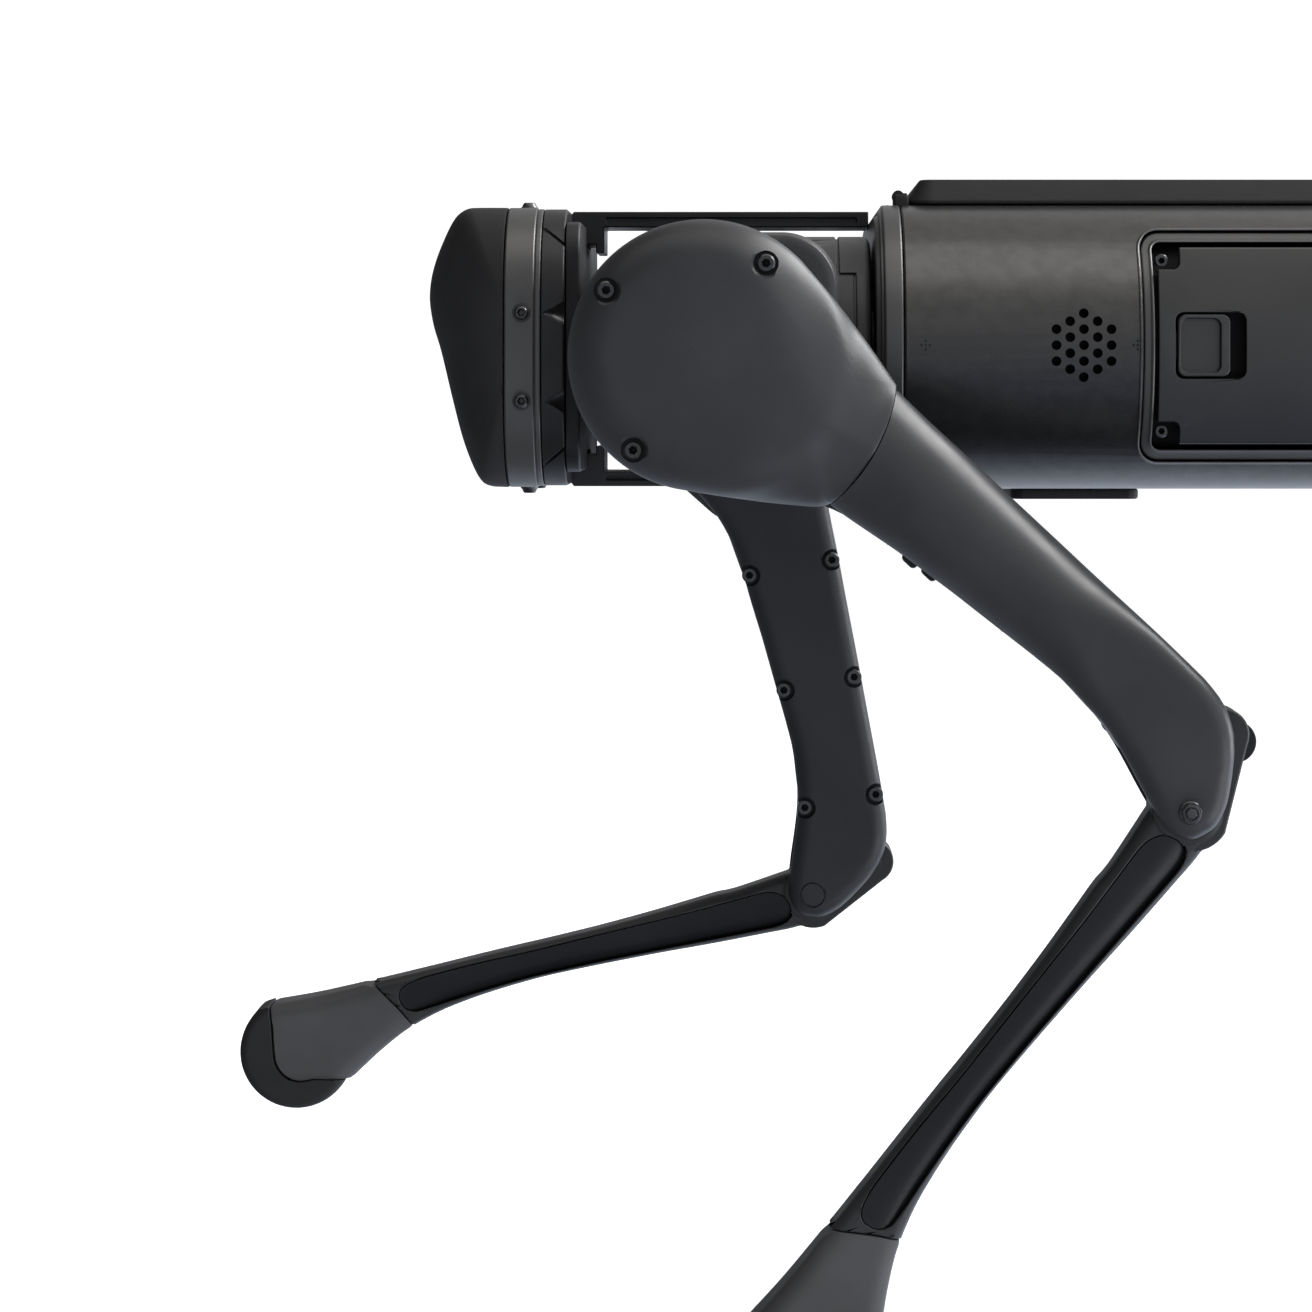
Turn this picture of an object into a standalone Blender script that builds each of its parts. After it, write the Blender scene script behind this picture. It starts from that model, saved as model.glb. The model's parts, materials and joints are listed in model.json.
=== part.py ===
"""Quadruped robot dog: a trunk with a sliding battery, and four legs driven at hip, thigh and knee."""

import math

import bmesh
import bpy
from mathutils import Vector

# Driving dimensions, in millimetres and degrees. X is forward, Y is left and Z is up.
LINK = 200.0  # hip to knee, and knee to foot centre
FOOT_R = 21.0
HIP_X = 183.0  # abduction axes, ahead of and behind the trunk centre
HIP_Y = 47.0  # abduction axes, out from the middle plane
LEG_Y = 83.8  # leg plane, out from the abduction axis
LEVER = (4.1, 24.7)  # knee lever and crank pin, in the calf's frame
TRUNK_X = 120.5  # half length of the trunk tube
TRUNK_Y = 97.0
TRUNK_R = 46.0
TRUNK_Z = 3.5  # tube centre above the hip axes
COVER_R = 41.0  # round thigh cover
DRUM_R = 42.0  # hip bracket around the thigh motor
PLATE_Y = 73.5  # half width of the nose and tail frames
BATTERY = (-87.2, 45.7)  # battery ends along X
GAP = 0.3
MM = 0.001
STAND = LINK * (math.cos(math.radians(46.8)) + math.cos(math.radians(35.0)))
HIP_Z = STAND + FOOT_R
CENTRE_X = -0.2  # moves the robot so that its box is centred

COLOURS = {
    "graphite": (0.036, 0.038, 0.042),
    "cover": (0.045, 0.048, 0.053),
    "ring": (0.105, 0.110, 0.118),
    "black": (0.013, 0.013, 0.015),
    "shell": (0.016, 0.017, 0.019),
    "motor": (0.060, 0.062, 0.066),
    "steel": (0.300, 0.300, 0.310),
    "boot": (0.075, 0.077, 0.080),
    "rubber": (0.011, 0.011, 0.012),
    "board": (0.020, 0.085, 0.040),
    "glass": (0.006, 0.007, 0.009),
    "battery": (0.024, 0.026, 0.030),
}


# ---------------------------------------------------------------- outlines


def arc(centre, radius, start, end, steps):
    """Points on an arc, both ends included; angles in degrees from the first axis to the second."""
    turns = [math.radians(start + (end - start) * i / steps) for i in range(steps + 1)]
    return [(centre[0] + radius * math.cos(a), centre[1] + radius * math.sin(a)) for a in turns]


def circle(centre, radius, steps):
    return arc(centre, radius, 0.0, 360.0, steps)[:-1]


def rounded_box(centre, half, radius, steps=5):
    """A rectangle with rounded corners, counter-clockwise."""
    a, b = half[0] - radius, half[1] - radius
    corners = ((a, b, 0.0), (-a, b, 90.0), (-a, -b, 180.0), (a, -b, 270.0))
    points = []
    for da, db, start in corners:
        middle = (centre[0] + da, centre[1] + db)
        points += arc(middle, radius, start, start + 90.0, steps)
    return points


def stadium(margin=0.0, steps=12):
    """The trunk's section in Y and Z, with `margin` taken off all round."""
    radius = TRUNK_R - margin
    side = TRUNK_Y - TRUNK_R
    right = arc((side, TRUNK_Z), radius, -90.0, 90.0, steps)
    left = arc((-side, TRUNK_Z), radius, 90.0, 270.0, steps)
    return right + left


def curve(points, samples):
    """A Catmull-Rom curve through the points, ends included."""
    ends = [points[0]] + list(points) + [points[-1]]
    line = []
    for i in range(len(points) - 1):
        p0, p1, p2, p3 = (Vector(p) for p in ends[i : i + 4])
        for k in range(samples):
            s = k / samples
            line.append(
                0.5 * (2 * p1 + (p2 - p0) * s + (2 * p0 - 5 * p1 + 4 * p2 - p3) * s * s
                       + (3 * p1 - p0 - 3 * p2 + p3) * s**3)
            )
    return [tuple(p) for p in line] + [tuple(points[-1])]


def inset(outline, distance):
    """The outline moved inwards along its corner normals."""
    count = len(outline)
    points = [Vector(p) for p in outline]
    area = sum(points[i].cross(points[(i + 1) % count]) for i in range(count))
    sign = 1.0 if area > 0 else -1.0
    moved = []
    for i in range(count):
        before = (points[i] - points[i - 1]).normalized()
        after = (points[(i + 1) % count] - points[i]).normalized()
        one = Vector((-before.y, before.x)) * sign
        two = Vector((-after.y, after.x)) * sign
        shift = (one + two) / max(0.6, 1.0 + one.dot(two))
        moved.append(tuple(points[i] + shift * distance))
    return moved


def down(points, facing):
    """Stations (along the link, across it) as X and Z of a leg frame; facing is the sign of X."""
    return [(facing * across, -along) for along, across in points]


# ---------------------------------------------------------------- solids


def body(rings, tube=False):
    """A closed object through equally long rings of points; a tube joins its last ring to its first."""
    build = bmesh.new()
    loops = [[build.verts.new(Vector(p) * MM) for p in ring] for ring in rings]
    pairs = list(zip(loops, loops[1:]))
    if tube:
        pairs.append((loops[-1], loops[0]))
    else:
        build.faces.new(loops[0])
        build.faces.new(loops[-1])
    for low, high in pairs:
        for i in range(len(low)):
            build.faces.new((low[i - 1], low[i], high[i], high[i - 1]))
    bmesh.ops.recalc_face_normals(build, faces=build.faces)
    mesh = bpy.data.meshes.new("shape")
    build.to_mesh(mesh)
    build.free()
    shape = bpy.data.objects.new("shape", mesh)
    bpy.context.scene.collection.objects.link(shape)
    return shape


def ring(axis, outline, height):
    """An outline set square to an axis. It is in YZ for X, in XZ for Y and in XY for Z."""
    if axis == "X":
        return [(height, a, b) for a, b in outline]
    if axis == "Y":
        return [(a, height, b) for a, b in outline]
    return [(a, b, height) for a, b in outline]


def stack(axis, levels, tube=False):
    return body([ring(axis, outline, height) for outline, height in levels], tube)


def prism(axis, outline, low, high, edge=0.0):
    """An outline drawn out along an axis, with its two ends chamfered by `edge`."""
    if not edge:
        return stack(axis, [(outline, low), (outline, high)])
    small = inset(outline, edge)
    levels = [(small, low), (outline, low + edge), (outline, high - edge), (small, high)]
    return stack(axis, levels)


def turned(axis, centre, profile, steps=32):
    """A turned solid from (radius, height) pairs."""
    return stack(axis, [(circle(centre, radius, steps), height) for radius, height in profile])


def cylinder(axis, centre, radius, low, high, steps=24):
    return turned(axis, centre, [(radius, low), (radius, high)], steps)


def box(low, high):
    corners = [(low[0], low[1]), (high[0], low[1]), (high[0], high[1]), (low[0], high[1])]
    return prism("Z", corners, low[2], high[2])


def combine(operation, base, tools):
    """Applies one Boolean after another, and removes the tools."""
    for tool in tools:
        step = base.modifiers.new("step", "BOOLEAN")
        step.operation = operation
        step.solver = "EXACT"
        step.object = tool
    graph = bpy.context.evaluated_depsgraph_get()
    result = bpy.data.meshes.new_from_object(base.evaluated_get(graph))
    base.modifiers.clear()
    base.data = result
    for tool in tools:
        bpy.data.objects.remove(tool)
    return base


def join(base, *tools):
    return combine("UNION", base, tools)


def cut(base, *tools):
    return combine("DIFFERENCE", base, tools)


def common(base, *tools):
    return combine("INTERSECT", base, tools)


def take_mesh(shape):
    mesh = shape.data
    bpy.data.objects.remove(shape)
    return mesh


def mirrored(mesh, axis):
    """A copy of the mesh reflected along axis 0, 1 or 2."""
    copy = mesh.copy()
    for vertex in copy.vertices:
        vertex.co[axis] = -vertex.co[axis]
    copy.flip_normals()
    return copy


# ---------------------------------------------------------------- scene


def clear_scene():
    for thing in list(bpy.data.objects):
        bpy.data.objects.remove(thing, do_unlink=True)


def material(name, colour, rough):
    skin = bpy.data.materials.new(name)
    skin.use_nodes = True
    shader = skin.node_tree.nodes["Principled BSDF"]
    shader.inputs["Base Color"].default_value = (*COLOURS[colour], 1.0)
    shader.inputs["Roughness"].default_value = rough
    shader.inputs["Metallic"].default_value = 1.0 if colour == "steel" else 0.0
    return skin


def pivot(name, parent, place, pitch=0.0):
    """An empty on a joint axis; pitch is about +Y."""
    frame = bpy.data.objects.new(name, None)
    bpy.context.scene.collection.objects.link(frame)
    frame.parent = parent
    frame.location = Vector(place) * MM
    frame.rotation_euler = (0.0, math.radians(pitch), 0.0)
    return frame


def place(name, mesh, parent, colour, rough=0.5):
    """A finished piece: named, coloured, smooth across shallow edges and sharp across the others."""
    mesh.name = name
    mesh.materials.clear()
    mesh.materials.append(material(name + "_skin", colour, rough))
    mesh.shade_smooth()
    mesh.set_sharp_from_angle(angle=math.radians(32.0))
    piece = bpy.data.objects.new(name, mesh)
    bpy.context.scene.collection.objects.link(piece)
    piece.parent = parent
    return piece


# ---------------------------------------------------------------- trunk


def trunk_shell():
    """The extruded tube, with the battery opening in its left side."""
    outer, inner = stadium(), stadium(2.5)
    levels = [(inner, -TRUNK_X), (inner, TRUNK_X), (outer, TRUNK_X), (outer, -TRUNK_X)]
    opening = prism("Y", battery_side(GAP, 36.5), 40.0, 110.0)
    return cut(stack("X", levels, tube=True), opening)


def top_deck():
    base = rounded_box((0.0, 0.0), (118.6, 55.0), 5.0, 3)
    top = TRUNK_Z + TRUNK_R
    levels = [(base, top + GAP), (base, top + 1.6), (inset(base, 4.9), top + 8.5)]
    return stack("Z", levels)


def belly_pad():
    bottom = TRUNK_Z - TRUNK_R
    return prism("Z", rounded_box((62.5, 0.0), (21.0, 40.0), 4.0, 3), bottom - 3.7, bottom - GAP)


def bulkhead():
    """The end ring of the tube with its inset plate, open where the hip motors drive through."""
    outer, plate = stadium(), stadium(4.0)
    start = TRUNK_X + GAP
    levels = [(outer, start), (outer, start + 6.8), (plate, start + 6.8), (plate, start + 8.4)]
    holes = [cylinder("X", (side * HIP_Y, 0.0), 17.0, 110.0, 140.0, 20) for side in (-1, 1)]
    return cut(stack("X", levels), *holes)


def rail(inner, outer, foot):
    """A flat bar from the bulkhead to the nose frame; its end block reaches to the height `foot`."""
    start, end = TRUNK_X + 9.0, HIP_X + 40.2
    lip = inner + math.copysign(0.6, inner)
    outline = [(start, inner), (end - 5.2, inner), (end - 5.2, foot), (end, foot), (end, lip)]
    outline += [(end + 4.8, lip), (end + 4.8, outer), (start, outer)]
    return prism("Y", outline, -15.0, 15.0)


def nose_outline(margin=0.0):
    return inset(rounded_box((0.0, TRUNK_Z), (PLATE_Y, 45.6), 30.0, 5), margin)


def nose_frame():
    """The plate and casting that carry the outer ends of both hip brackets."""
    back = HIP_X + 40.5
    plate, rim = nose_outline(5.2), nose_outline(0.5)
    levels = [(plate, back), (plate, back + 4.8), (rim, back + 4.8), (rim, back + 12.2)]
    bores = [cylinder("X", (side * HIP_Y, 0.0), 8.4, 200.0, 260.0, 16) for side in (-1, 1)]
    pocket = prism("X", rounded_box((0.0, TRUNK_Z), (24.0, 30.0), 8.0, 3), back + 4.0, 260.0)
    return cut(stack("X", levels), pocket, *bores)


def head_ring():
    start = HIP_X + 53.0
    outer, inner = nose_outline(), nose_outline(4.0)
    levels = [(inner, start), (inner, start + 13.0), (outer, start + 13.0), (outer, start)]
    return stack("X", levels, tube=True)


def face(height, depth):
    """X of the sloping lower face of the head, `depth` under its surface."""
    return 274.4 - (17.0 - height) * 0.247 - depth


def face_slab(low, high, near, far, half_width, edge=0.0):
    """A slab that lies along the sloping face between two heights and two depths."""
    outline = [(face(low, near), low), (face(high, near), high), (face(high, far), high)]
    outline.append((face(low, far), low))
    return prism("Y", outline, -half_width, half_width, edge)


def head_shell():
    """The nose: a side profile, a front outline and a plan, each cut by the others, hollow behind."""
    start = HIP_X + 66.3
    brow = curve([(260.6, 49.6), (265.2, 45.0), (269.1, 36.5), (272.5, 28.0), (274.4, 19.5)], 2)
    chin = curve([(262.9, -26.3), (259.5, -35.3), (256.6, -40.4), (253.5, -42.6)], 2)
    profile = [(start, 60.0), (258.0, 60.0)] + brow + chin + [(252.0, -60.0), (start, -60.0)]
    plan = [(240.0, -80.0)] + arc((242.4, -41.5), 32.2, -80.0, 0.0, 7)
    plan += arc((242.4, 41.5), 32.2, 0.0, 80.0, 7) + [(240.0, 80.0)]
    front = prism("X", nose_outline(), 240.0, 290.0)
    hollow = prism("X", nose_outline(5.0), 240.0, 254.0)
    recess = face_slab(-12.0, 11.0, -3.0, 3.2, 36.0)
    nose = common(prism("Y", profile, -90.0, 90.0), front, prism("Z", plan, -70.0, 70.0))
    return cut(nose, hollow, recess)


def tail_cover():
    start = HIP_X + 53.0
    outer = nose_outline()
    levels = [(outer, start), (outer, start + 15.0), (inset(outer, 3.0), start + 21.0)]
    levels.append((inset(outer, 10.0), start + 25.0))
    hollow = prism("X", nose_outline(5.0), start - 5.0, start + 12.0)
    return cut(stack("X", levels), hollow)


def hip_motors():
    """The two abduction motors of one end, on their shared bridge."""
    bridge = prism("X", rounded_box((0.0, 0.0), (50.0, 20.0), 4.0, 2), 94.0, 114.0)
    profile = [(36.0, 90.0), (36.0, 120.0), (15.0, 120.0), (15.0, 130.0)]
    motors = [turned("X", (side * HIP_Y, 0.0), profile, 24) for side in (-1, 1)]
    return join(bridge, *motors)


def control_board():
    plate = box((-62.0, -88.0, -6.8), (62.0, -36.0, -5.2))
    sink = box((-30.0, -78.0, -6.0), (8.0, -46.0, 9.0))
    sockets = box((24.0, -84.0, -6.0), (54.0, -70.0, 6.0))
    return join(plate, sink, sockets)


def battery_outline():
    """The pack's section in Y and Z: square inside the trunk, round to match the tube outside."""
    side = TRUNK_Y - TRUNK_R
    outside = arc((side, TRUNK_Z), 44.0, -64.0, 64.0, 14)
    return [(-30.0, outside[0][1])] + outside + [(-30.0, outside[-1][1])]


def battery_side(margin, half_height):
    """The pack's outline in X and Z, grown by `margin` at its ends."""
    middle = (sum(BATTERY) / 2.0, TRUNK_Z)
    half = (BATTERY[1] - BATTERY[0]) / 2.0 + margin
    return rounded_box(middle, (half, half_height), 6.0, 3)


def battery_pack():
    block = prism("X", battery_outline(), BATTERY[0] - 5.0, BATTERY[1] + 5.0)
    block = common(block, prism("Y", battery_side(0.0, 36.2), -40.0, 110.0))
    recess = box((13.7, 86.0, TRUNK_Z - 10.4), (35.8, 110.0, TRUNK_Z + 10.4))
    slot = box((31.0, 87.0, TRUNK_Z - 4.5), (50.0, 91.5, TRUNK_Z + 4.5))
    return cut(block, recess, slot)


def battery_latch():
    """A sliding button with a tongue that runs in the slot beside it."""
    top = rounded_box((26.9, TRUNK_Z), (8.3, 10.1), 1.5, 2)
    levels = [(top, 86.3), (top, 93.4), (inset(top, 0.8), 94.4)]
    tongue = box((31.0, 87.4, TRUNK_Z - 4.0), (BATTERY[1] - 0.2, 91.1, TRUNK_Z + 4.0))
    hollow = prism("Y", rounded_box((27.9, TRUNK_Z), (5.6, 8.2), 2.0, 3), 91.9, 100.0)
    return cut(join(stack("Y", levels), tongue), hollow)


# ---------------------------------------------------------------- left leg


def hip_bracket():
    """Abduction arm and the drum around the thigh motor; the stub at its end runs in the nose frame."""
    arm = turned("X", (0.0, 0.0), [(37.5, -52.7), (39.5, -50.7), (39.5, -30.0), (24.0, -14.0)], 28)
    flat = [(min(x, 39.2), z) for x, z in circle((0.0, 0.0), DRUM_R, 36)]
    corner = arc((-24.0, 21.0), 18.0, 90.0, 180.0, 5) + arc((-24.0, -21.0), 18.0, 180.0, 270.0, 5)
    drum = prism("Y", flat, -16.0, 57.5)
    shoulder = prism("Y", [(0.0, 39.0)] + corner + [(0.0, -39.0)], -16.0, 52.0)
    boss = cylinder("X", (0.0, 0.0), 18.0, 30.0, 40.2, 20)
    stub = cylinder("X", (0.0, 0.0), 8.0, 30.0, 51.0, 16)
    cavity = cylinder("Y", (0.0, 0.0), 38.0, -10.0, 70.0, 36)
    return cut(join(drum, shoulder, arm, boss, stub), cavity)


def thigh_motor():
    profile = [(37.4, -8.0), (37.4, 54.0), (35.5, 56.0), (20.0, 56.0), (20.0, 61.2)]
    return turned("Y", (0.0, 0.0), profile, 28)


def thigh_outline():
    """Stations down the tube from the hip, across it toward the back."""
    back = [(8.0, 36.5), (48.0, 31.8), (78.0, 31.7), (115.0, 32.8), (158.0, 33.8)]
    heel = [(158.0, 33.8), (177.5, 33.3), (191.0, 28.1), (199.0, 19.6), (205.0, 9.0)]
    knee = arc((LINK, 0.0), 8.4, 25.0, -95.0, 5)
    front = [(187.0, -5.5), (171.7, -0.3), (157.0, 2.9), (141.0, 4.5), (111.0, 1.0)]
    shin = [(83.0, -2.9), (60.0, -6.3), (41.0, -18.5), (22.0, -31.0)]
    return back + curve(heel, 2)[1:] + knee + front + shin


def tube_cavity(low, high):
    """The space in the tube for the rod, as far as the knee slot."""
    outline = [(t, n) for t, n in inset(thigh_outline(), 2.2) if t < 180.0]
    return prism("Y", down(outline, -1), low, high)


def rod_passage():
    return box((-30.0, -4.5, -48.0), (-8.0, 8.0, -20.0))


def thigh_shell():
    """The motor-side drum and the outer half of the tube, in one casting."""
    outline = down(thigh_outline(), -1)
    levels = [(outline, 0.0), (outline, 14.0), (inset(outline, 2.4), 16.5)]
    tube = cut(stack("Y", levels), cylinder("Y", (0.0, 0.0), 59.3, 8.5, 30.0, 36))
    drum = cylinder("Y", (0.0, 0.0), 40.5, -22.3, 8.45, 36)
    cavity = cylinder("Y", (0.0, 0.0), 36.0, -18.8, 30.0, 32)
    slot = box((-60.0, -5.0, -230.0), (40.0, 10.5, -172.0))
    bore = cylinder("Y", (0.0, -LINK), 5.5, -30.0, 30.0, 16)
    return cut(join(tube, drum), cavity, tube_cavity(-1.0, 14.3), slot, rod_passage(), bore)


def thigh_inner():
    """The cover that closes the tube on the body side."""
    outline = down(thigh_outline(), -1)
    levels = [(outline, -GAP), (outline, -14.0), (inset(outline, 2.4), -16.5)]
    drum = cylinder("Y", (0.0, 0.0), 41.3, -30.0, 10.0, 36)
    slot = box((-60.0, -10.5, -230.0), (40.0, 5.0, -172.0))
    bore = cylinder("Y", (0.0, -LINK), 5.5, -30.0, 30.0, 16)
    trim = box((-60.0, -30.0, -43.0), (60.0, 10.0, 60.0))
    shape = cut(stack("Y", levels), drum, trim)
    return cut(shape, tube_cavity(-14.3, 5.0), slot, rod_passage(), bore)


def cap_outline():
    """The round cover and its neck, up to the seam that is struck from the hip axis."""
    neck = [(42.6, -20.6), (56.0, -10.9)] + arc((0.0, 0.0), 59.0, -6.0, 34.6, 6)
    neck += [(34.3, 36.5), (19.6, 39.0)]
    return arc((0.0, 0.0), COVER_R, 87.0, 306.0, 20) + neck


def cap_ring(margin, height):
    """One level of the cap. Its top falls away along the neck."""
    points = []
    for t, n in inset(cap_outline(), margin):
        fall = max(0.0, math.hypot(t, n) - 38.0) / 21.0
        points.append((-n, 8.8 + (height - 8.8) * (1.0 - 0.45 * fall), -t))
    return points


def thigh_cap():
    """The rounded outer cover, hollow in the middle, with three screw seats."""
    crown = [(-24.0 * n / math.hypot(t, n), 24.2, -24.0 * t / math.hypot(t, n))
             for t, n in inset(cap_outline(), 10.0)]
    rounding = [(0.0, 8.8), (0.0, 15.5), (2.2, 20.6), (8.4, 24.0)]
    cap = body([cap_ring(margin, height) for margin, height in rounding] + [crown])
    hollow = cylinder("Y", (0.0, 0.0), 28.0, 0.0, 20.0, 24)
    seats = [(-34.4, -5.7), (-5.1, 32.9), (4.2, -35.0)]
    bores = [cylinder("Y", down([seat], -1)[0], 3.5, 15.0, 40.0, 10) for seat in seats]
    return cut(cap, hollow, *bores)


def knee_crank():
    """The knee motor's output disc, with the pin that drives the rod."""
    disc = turned("Y", (0.0, 0.0), [(34.0, -18.0), (34.0, -3.8)], 28)
    return join(disc, cylinder("Y", LEVER, 3.0, -8.0, 3.7, 10))


def knee_rod():
    """A flat bar with an eye at each end, parallel to the thigh."""
    bar = box((-2.6, -2.8, -LINK), (2.6, 2.8, 0.0))
    eyes = [cylinder("Y", (0.0, z), 6.0, -3.0, 3.0, 14) for z in (0.0, -LINK)]
    holes = [cylinder("Y", (0.0, z), 3.7, -9.0, 9.0, 10) for z in (0.0, -LINK)]
    return cut(join(bar, *eyes), *holes)


def shin_edges(first, last):
    """The calf's front and back stations between two distances below the knee."""
    front = [(0.0, 9.1), (20.0, 8.6), (60.0, 9.4), (100.0, 11.3), (140.0, 13.9), (165.4, 15.5)]
    back = [(0.0, -11.0), (20.0, -10.2), (60.0, -5.5), (100.0, -1.4), (126.0, -0.7), (140.0, -1.4)]
    back.append((156.2, -4.1))
    inside = [p for p in front if first <= p[0] <= last]
    return inside + [p for p in reversed(back) if first <= p[0] <= last]


def lever_outline():
    """A lobe from the knee to the lever's end."""
    lean = math.degrees(math.atan2(LEVER[1], LEVER[0]))
    return arc((-2.0, 0.0), 11.6, lean + 96.0, lean + 264.0, 5) + arc(LEVER, 8.0, lean - 86.0, lean + 86.0, 6)


def calf():
    """The shin, its pocketed sides, the knee hub and the forked lever that the rod pulls."""
    shin = prism("Y", down(shin_edges(0.0, 170.0), 1), -8.5, 8.5, 1.5)
    hub = cylinder("Y", (0.0, 0.0), 10.7, -9.0, 9.0, 20)
    ears = [prism("Y", lever_outline(), *span) for span in ((3.4, 8.2), (-8.2, -3.4))]
    axle = cylinder("Y", (0.0, 0.0), 5.0, -16.5, 16.5, 14)
    pin = cylinder("Y", LEVER, 3.0, -8.0, 8.0, 10)
    pocket = down(inset(shin_edges(20.0, 150.0), 3.4), 1)
    sides = [prism("Y", pocket, *span) for span in ((3.0, 20.0), (-20.0, -3.0))]
    return cut(join(shin, hub, *ears, axle, pin), *sides)


def sole_edge(shift):
    """The line where the sole meets the boot, moved down the leg by `shift`."""
    line = [(184.0, -15.3), (196.0, -11.7), (202.0, -10.7), (206.6, -7.0), (208.2, -1.0)]
    line += [(206.9, 6.0), (204.4, 18.1)]
    return [(t + shift, n) for t, n in line]


def ankle_boot():
    back = [(156.7, -4.3), (166.0, -7.2), (174.9, -11.5)]
    front = [(186.9, 17.1), (165.9, 15.6)]
    outline = down(back + sole_edge(0.0) + front, 1)
    return prism("Y", outline, -10.6, 10.6, 2.2)


def foot_sole():
    """The tread: round under the foot centre and rounded across."""
    profile = [(18.0, -12.4), (FOOT_R, -8.6), (FOOT_R, 8.6), (18.0, 12.4)]
    tread = turned("Y", (0.0, -LINK), profile, 30)
    above = [(150.0, 34.0), (150.0, -34.0), (176.0, -26.0)] + sole_edge(0.5) + [(202.0, 30.0)]
    return cut(tread, prism("Y", down(above, 1), -20.0, 20.0))


# ---------------------------------------------------------------- assembly


def reach(forward):
    """Thigh and calf angles that put a foot on the floor this far ahead of its hip."""
    length = math.hypot(forward, STAND)
    fold = math.degrees(math.acos(length / (2.0 * LINK)))
    lean = math.degrees(math.atan2(-forward, STAND))
    return lean + fold, -2.0 * fold


def both_ends(names, mesh, parent, colour, rough=0.5):
    """A front piece and its mirror image at the rear."""
    rear = mirrored(mesh, 0)
    place(names[0], mesh, parent, colour, rough)
    place(names[1], rear, parent, colour, rough)


def build_trunk(trunk):
    place("trunk_shell", take_mesh(trunk_shell()), trunk, "ring", 0.42)
    place("top_deck", take_mesh(top_deck()), trunk, "graphite", 0.5)
    place("belly_pad", take_mesh(belly_pad()), trunk, "black", 0.6)
    pairs = (
        (("front_bulkhead", "rear_bulkhead"), bulkhead(), "ring"),
        (("front_top_rail", "rear_top_rail"), rail(45.3, 49.2, 35.4), "black"),
        (("front_bottom_rail", "rear_bottom_rail"), rail(-38.8, -42.6, -29.2), "black"),
        (("head_mount", "tail_mount"), nose_frame(), "black"),
        (("front_hip_motors", "rear_hip_motors"), hip_motors(), "motor"),
    )
    for names, shape, colour in pairs:
        both_ends(names, take_mesh(shape), trunk, colour)
    place("head_ring", take_mesh(head_ring()), trunk, "ring", 0.45)
    place("head_shell", take_mesh(head_shell()), trunk, "shell", 0.55)
    window = face_slab(-11.7, 10.7, 0.3, 2.8, 35.7)
    place("camera_window", take_mesh(window), trunk, "glass", 0.08)
    place("tail_cover", mirrored(take_mesh(tail_cover()), 0), trunk, "shell", 0.55)
    place("control_board", take_mesh(control_board()), trunk, "board", 0.6)
    slide = pivot("battery_slide", trunk, (0.0, 0.0, 0.0))
    place("battery_pack", take_mesh(battery_pack()), slide, "battery", 0.5)
    place("battery_latch", take_mesh(battery_latch()), slide, "black", 0.5)


def leg_meshes():
    """The ten pieces of a front left leg, in the order they're placed."""
    makers = (hip_bracket, thigh_motor, thigh_shell, thigh_inner, thigh_cap)
    makers += (knee_crank, knee_rod, calf, ankle_boot, foot_sole)
    return {maker.__name__: take_mesh(maker()) for maker in makers}


def build_leg(name, meshes, trunk, ahead, side, angles):
    """One leg from the left front pieces; ahead and side are the signs of its corner."""
    thigh_pitch, calf_pitch = angles
    hip = pivot(name + "_hip_axis", trunk, (ahead * HIP_X, side * HIP_Y, 0.0))
    thigh = pivot(name + "_thigh_axis", hip, (0.0, side * LEG_Y, 0.0), thigh_pitch)
    crank = pivot(name + "_crank_axis", thigh, (0.0, 0.0, 0.0), calf_pitch)
    rod = pivot(name + "_rod_axis", crank, (LEVER[0], 0.0, LEVER[1]), -calf_pitch)
    knee = pivot(name + "_knee_axis", thigh, (0.0, 0.0, -LINK), calf_pitch)
    plan = (
        ("hip_bracket", hip, "graphite", 0.45),
        ("thigh_motor", hip, "motor", 0.4),
        ("thigh_shell", thigh, "cover", 0.4),
        ("thigh_inner", thigh, "cover", 0.4),
        ("thigh_cap", thigh, "cover", 0.38),
        ("knee_crank", crank, "steel", 0.35),
        ("knee_rod", rod, "steel", 0.35),
        ("calf", knee, "graphite", 0.45),
        ("ankle_boot", knee, "boot", 0.6),
        ("foot_sole", knee, "rubber", 0.8),
    )
    for part, parent, colour, rough in plan:
        mesh = meshes[part].copy()
        if side < 0:
            mesh = mirrored(mesh, 1)
        if ahead < 0 and part == "hip_bracket":
            mesh = mirrored(mesh, 0)
        place(name + "_" + part, mesh, parent, colour, rough)


def main():
    clear_scene()
    trunk = pivot("trunk_axis", None, (CENTRE_X, 0.0, HIP_Z))
    build_trunk(trunk)
    meshes = leg_meshes()
    build_leg("front_left", meshes, trunk, 1, 1, (46.8, -81.8))
    build_leg("front_right", meshes, trunk, 1, -1, (10.6, -83.4))
    build_leg("rear_left", meshes, trunk, -1, 1, reach(-75.0))
    build_leg("rear_right", meshes, trunk, -1, -1, reach(95.0))


main()
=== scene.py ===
"""The robot dog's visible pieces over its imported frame, with the stage, lights and camera."""

import json
import math

import bmesh
import bpy
from mathutils import Matrix, Vector


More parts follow.
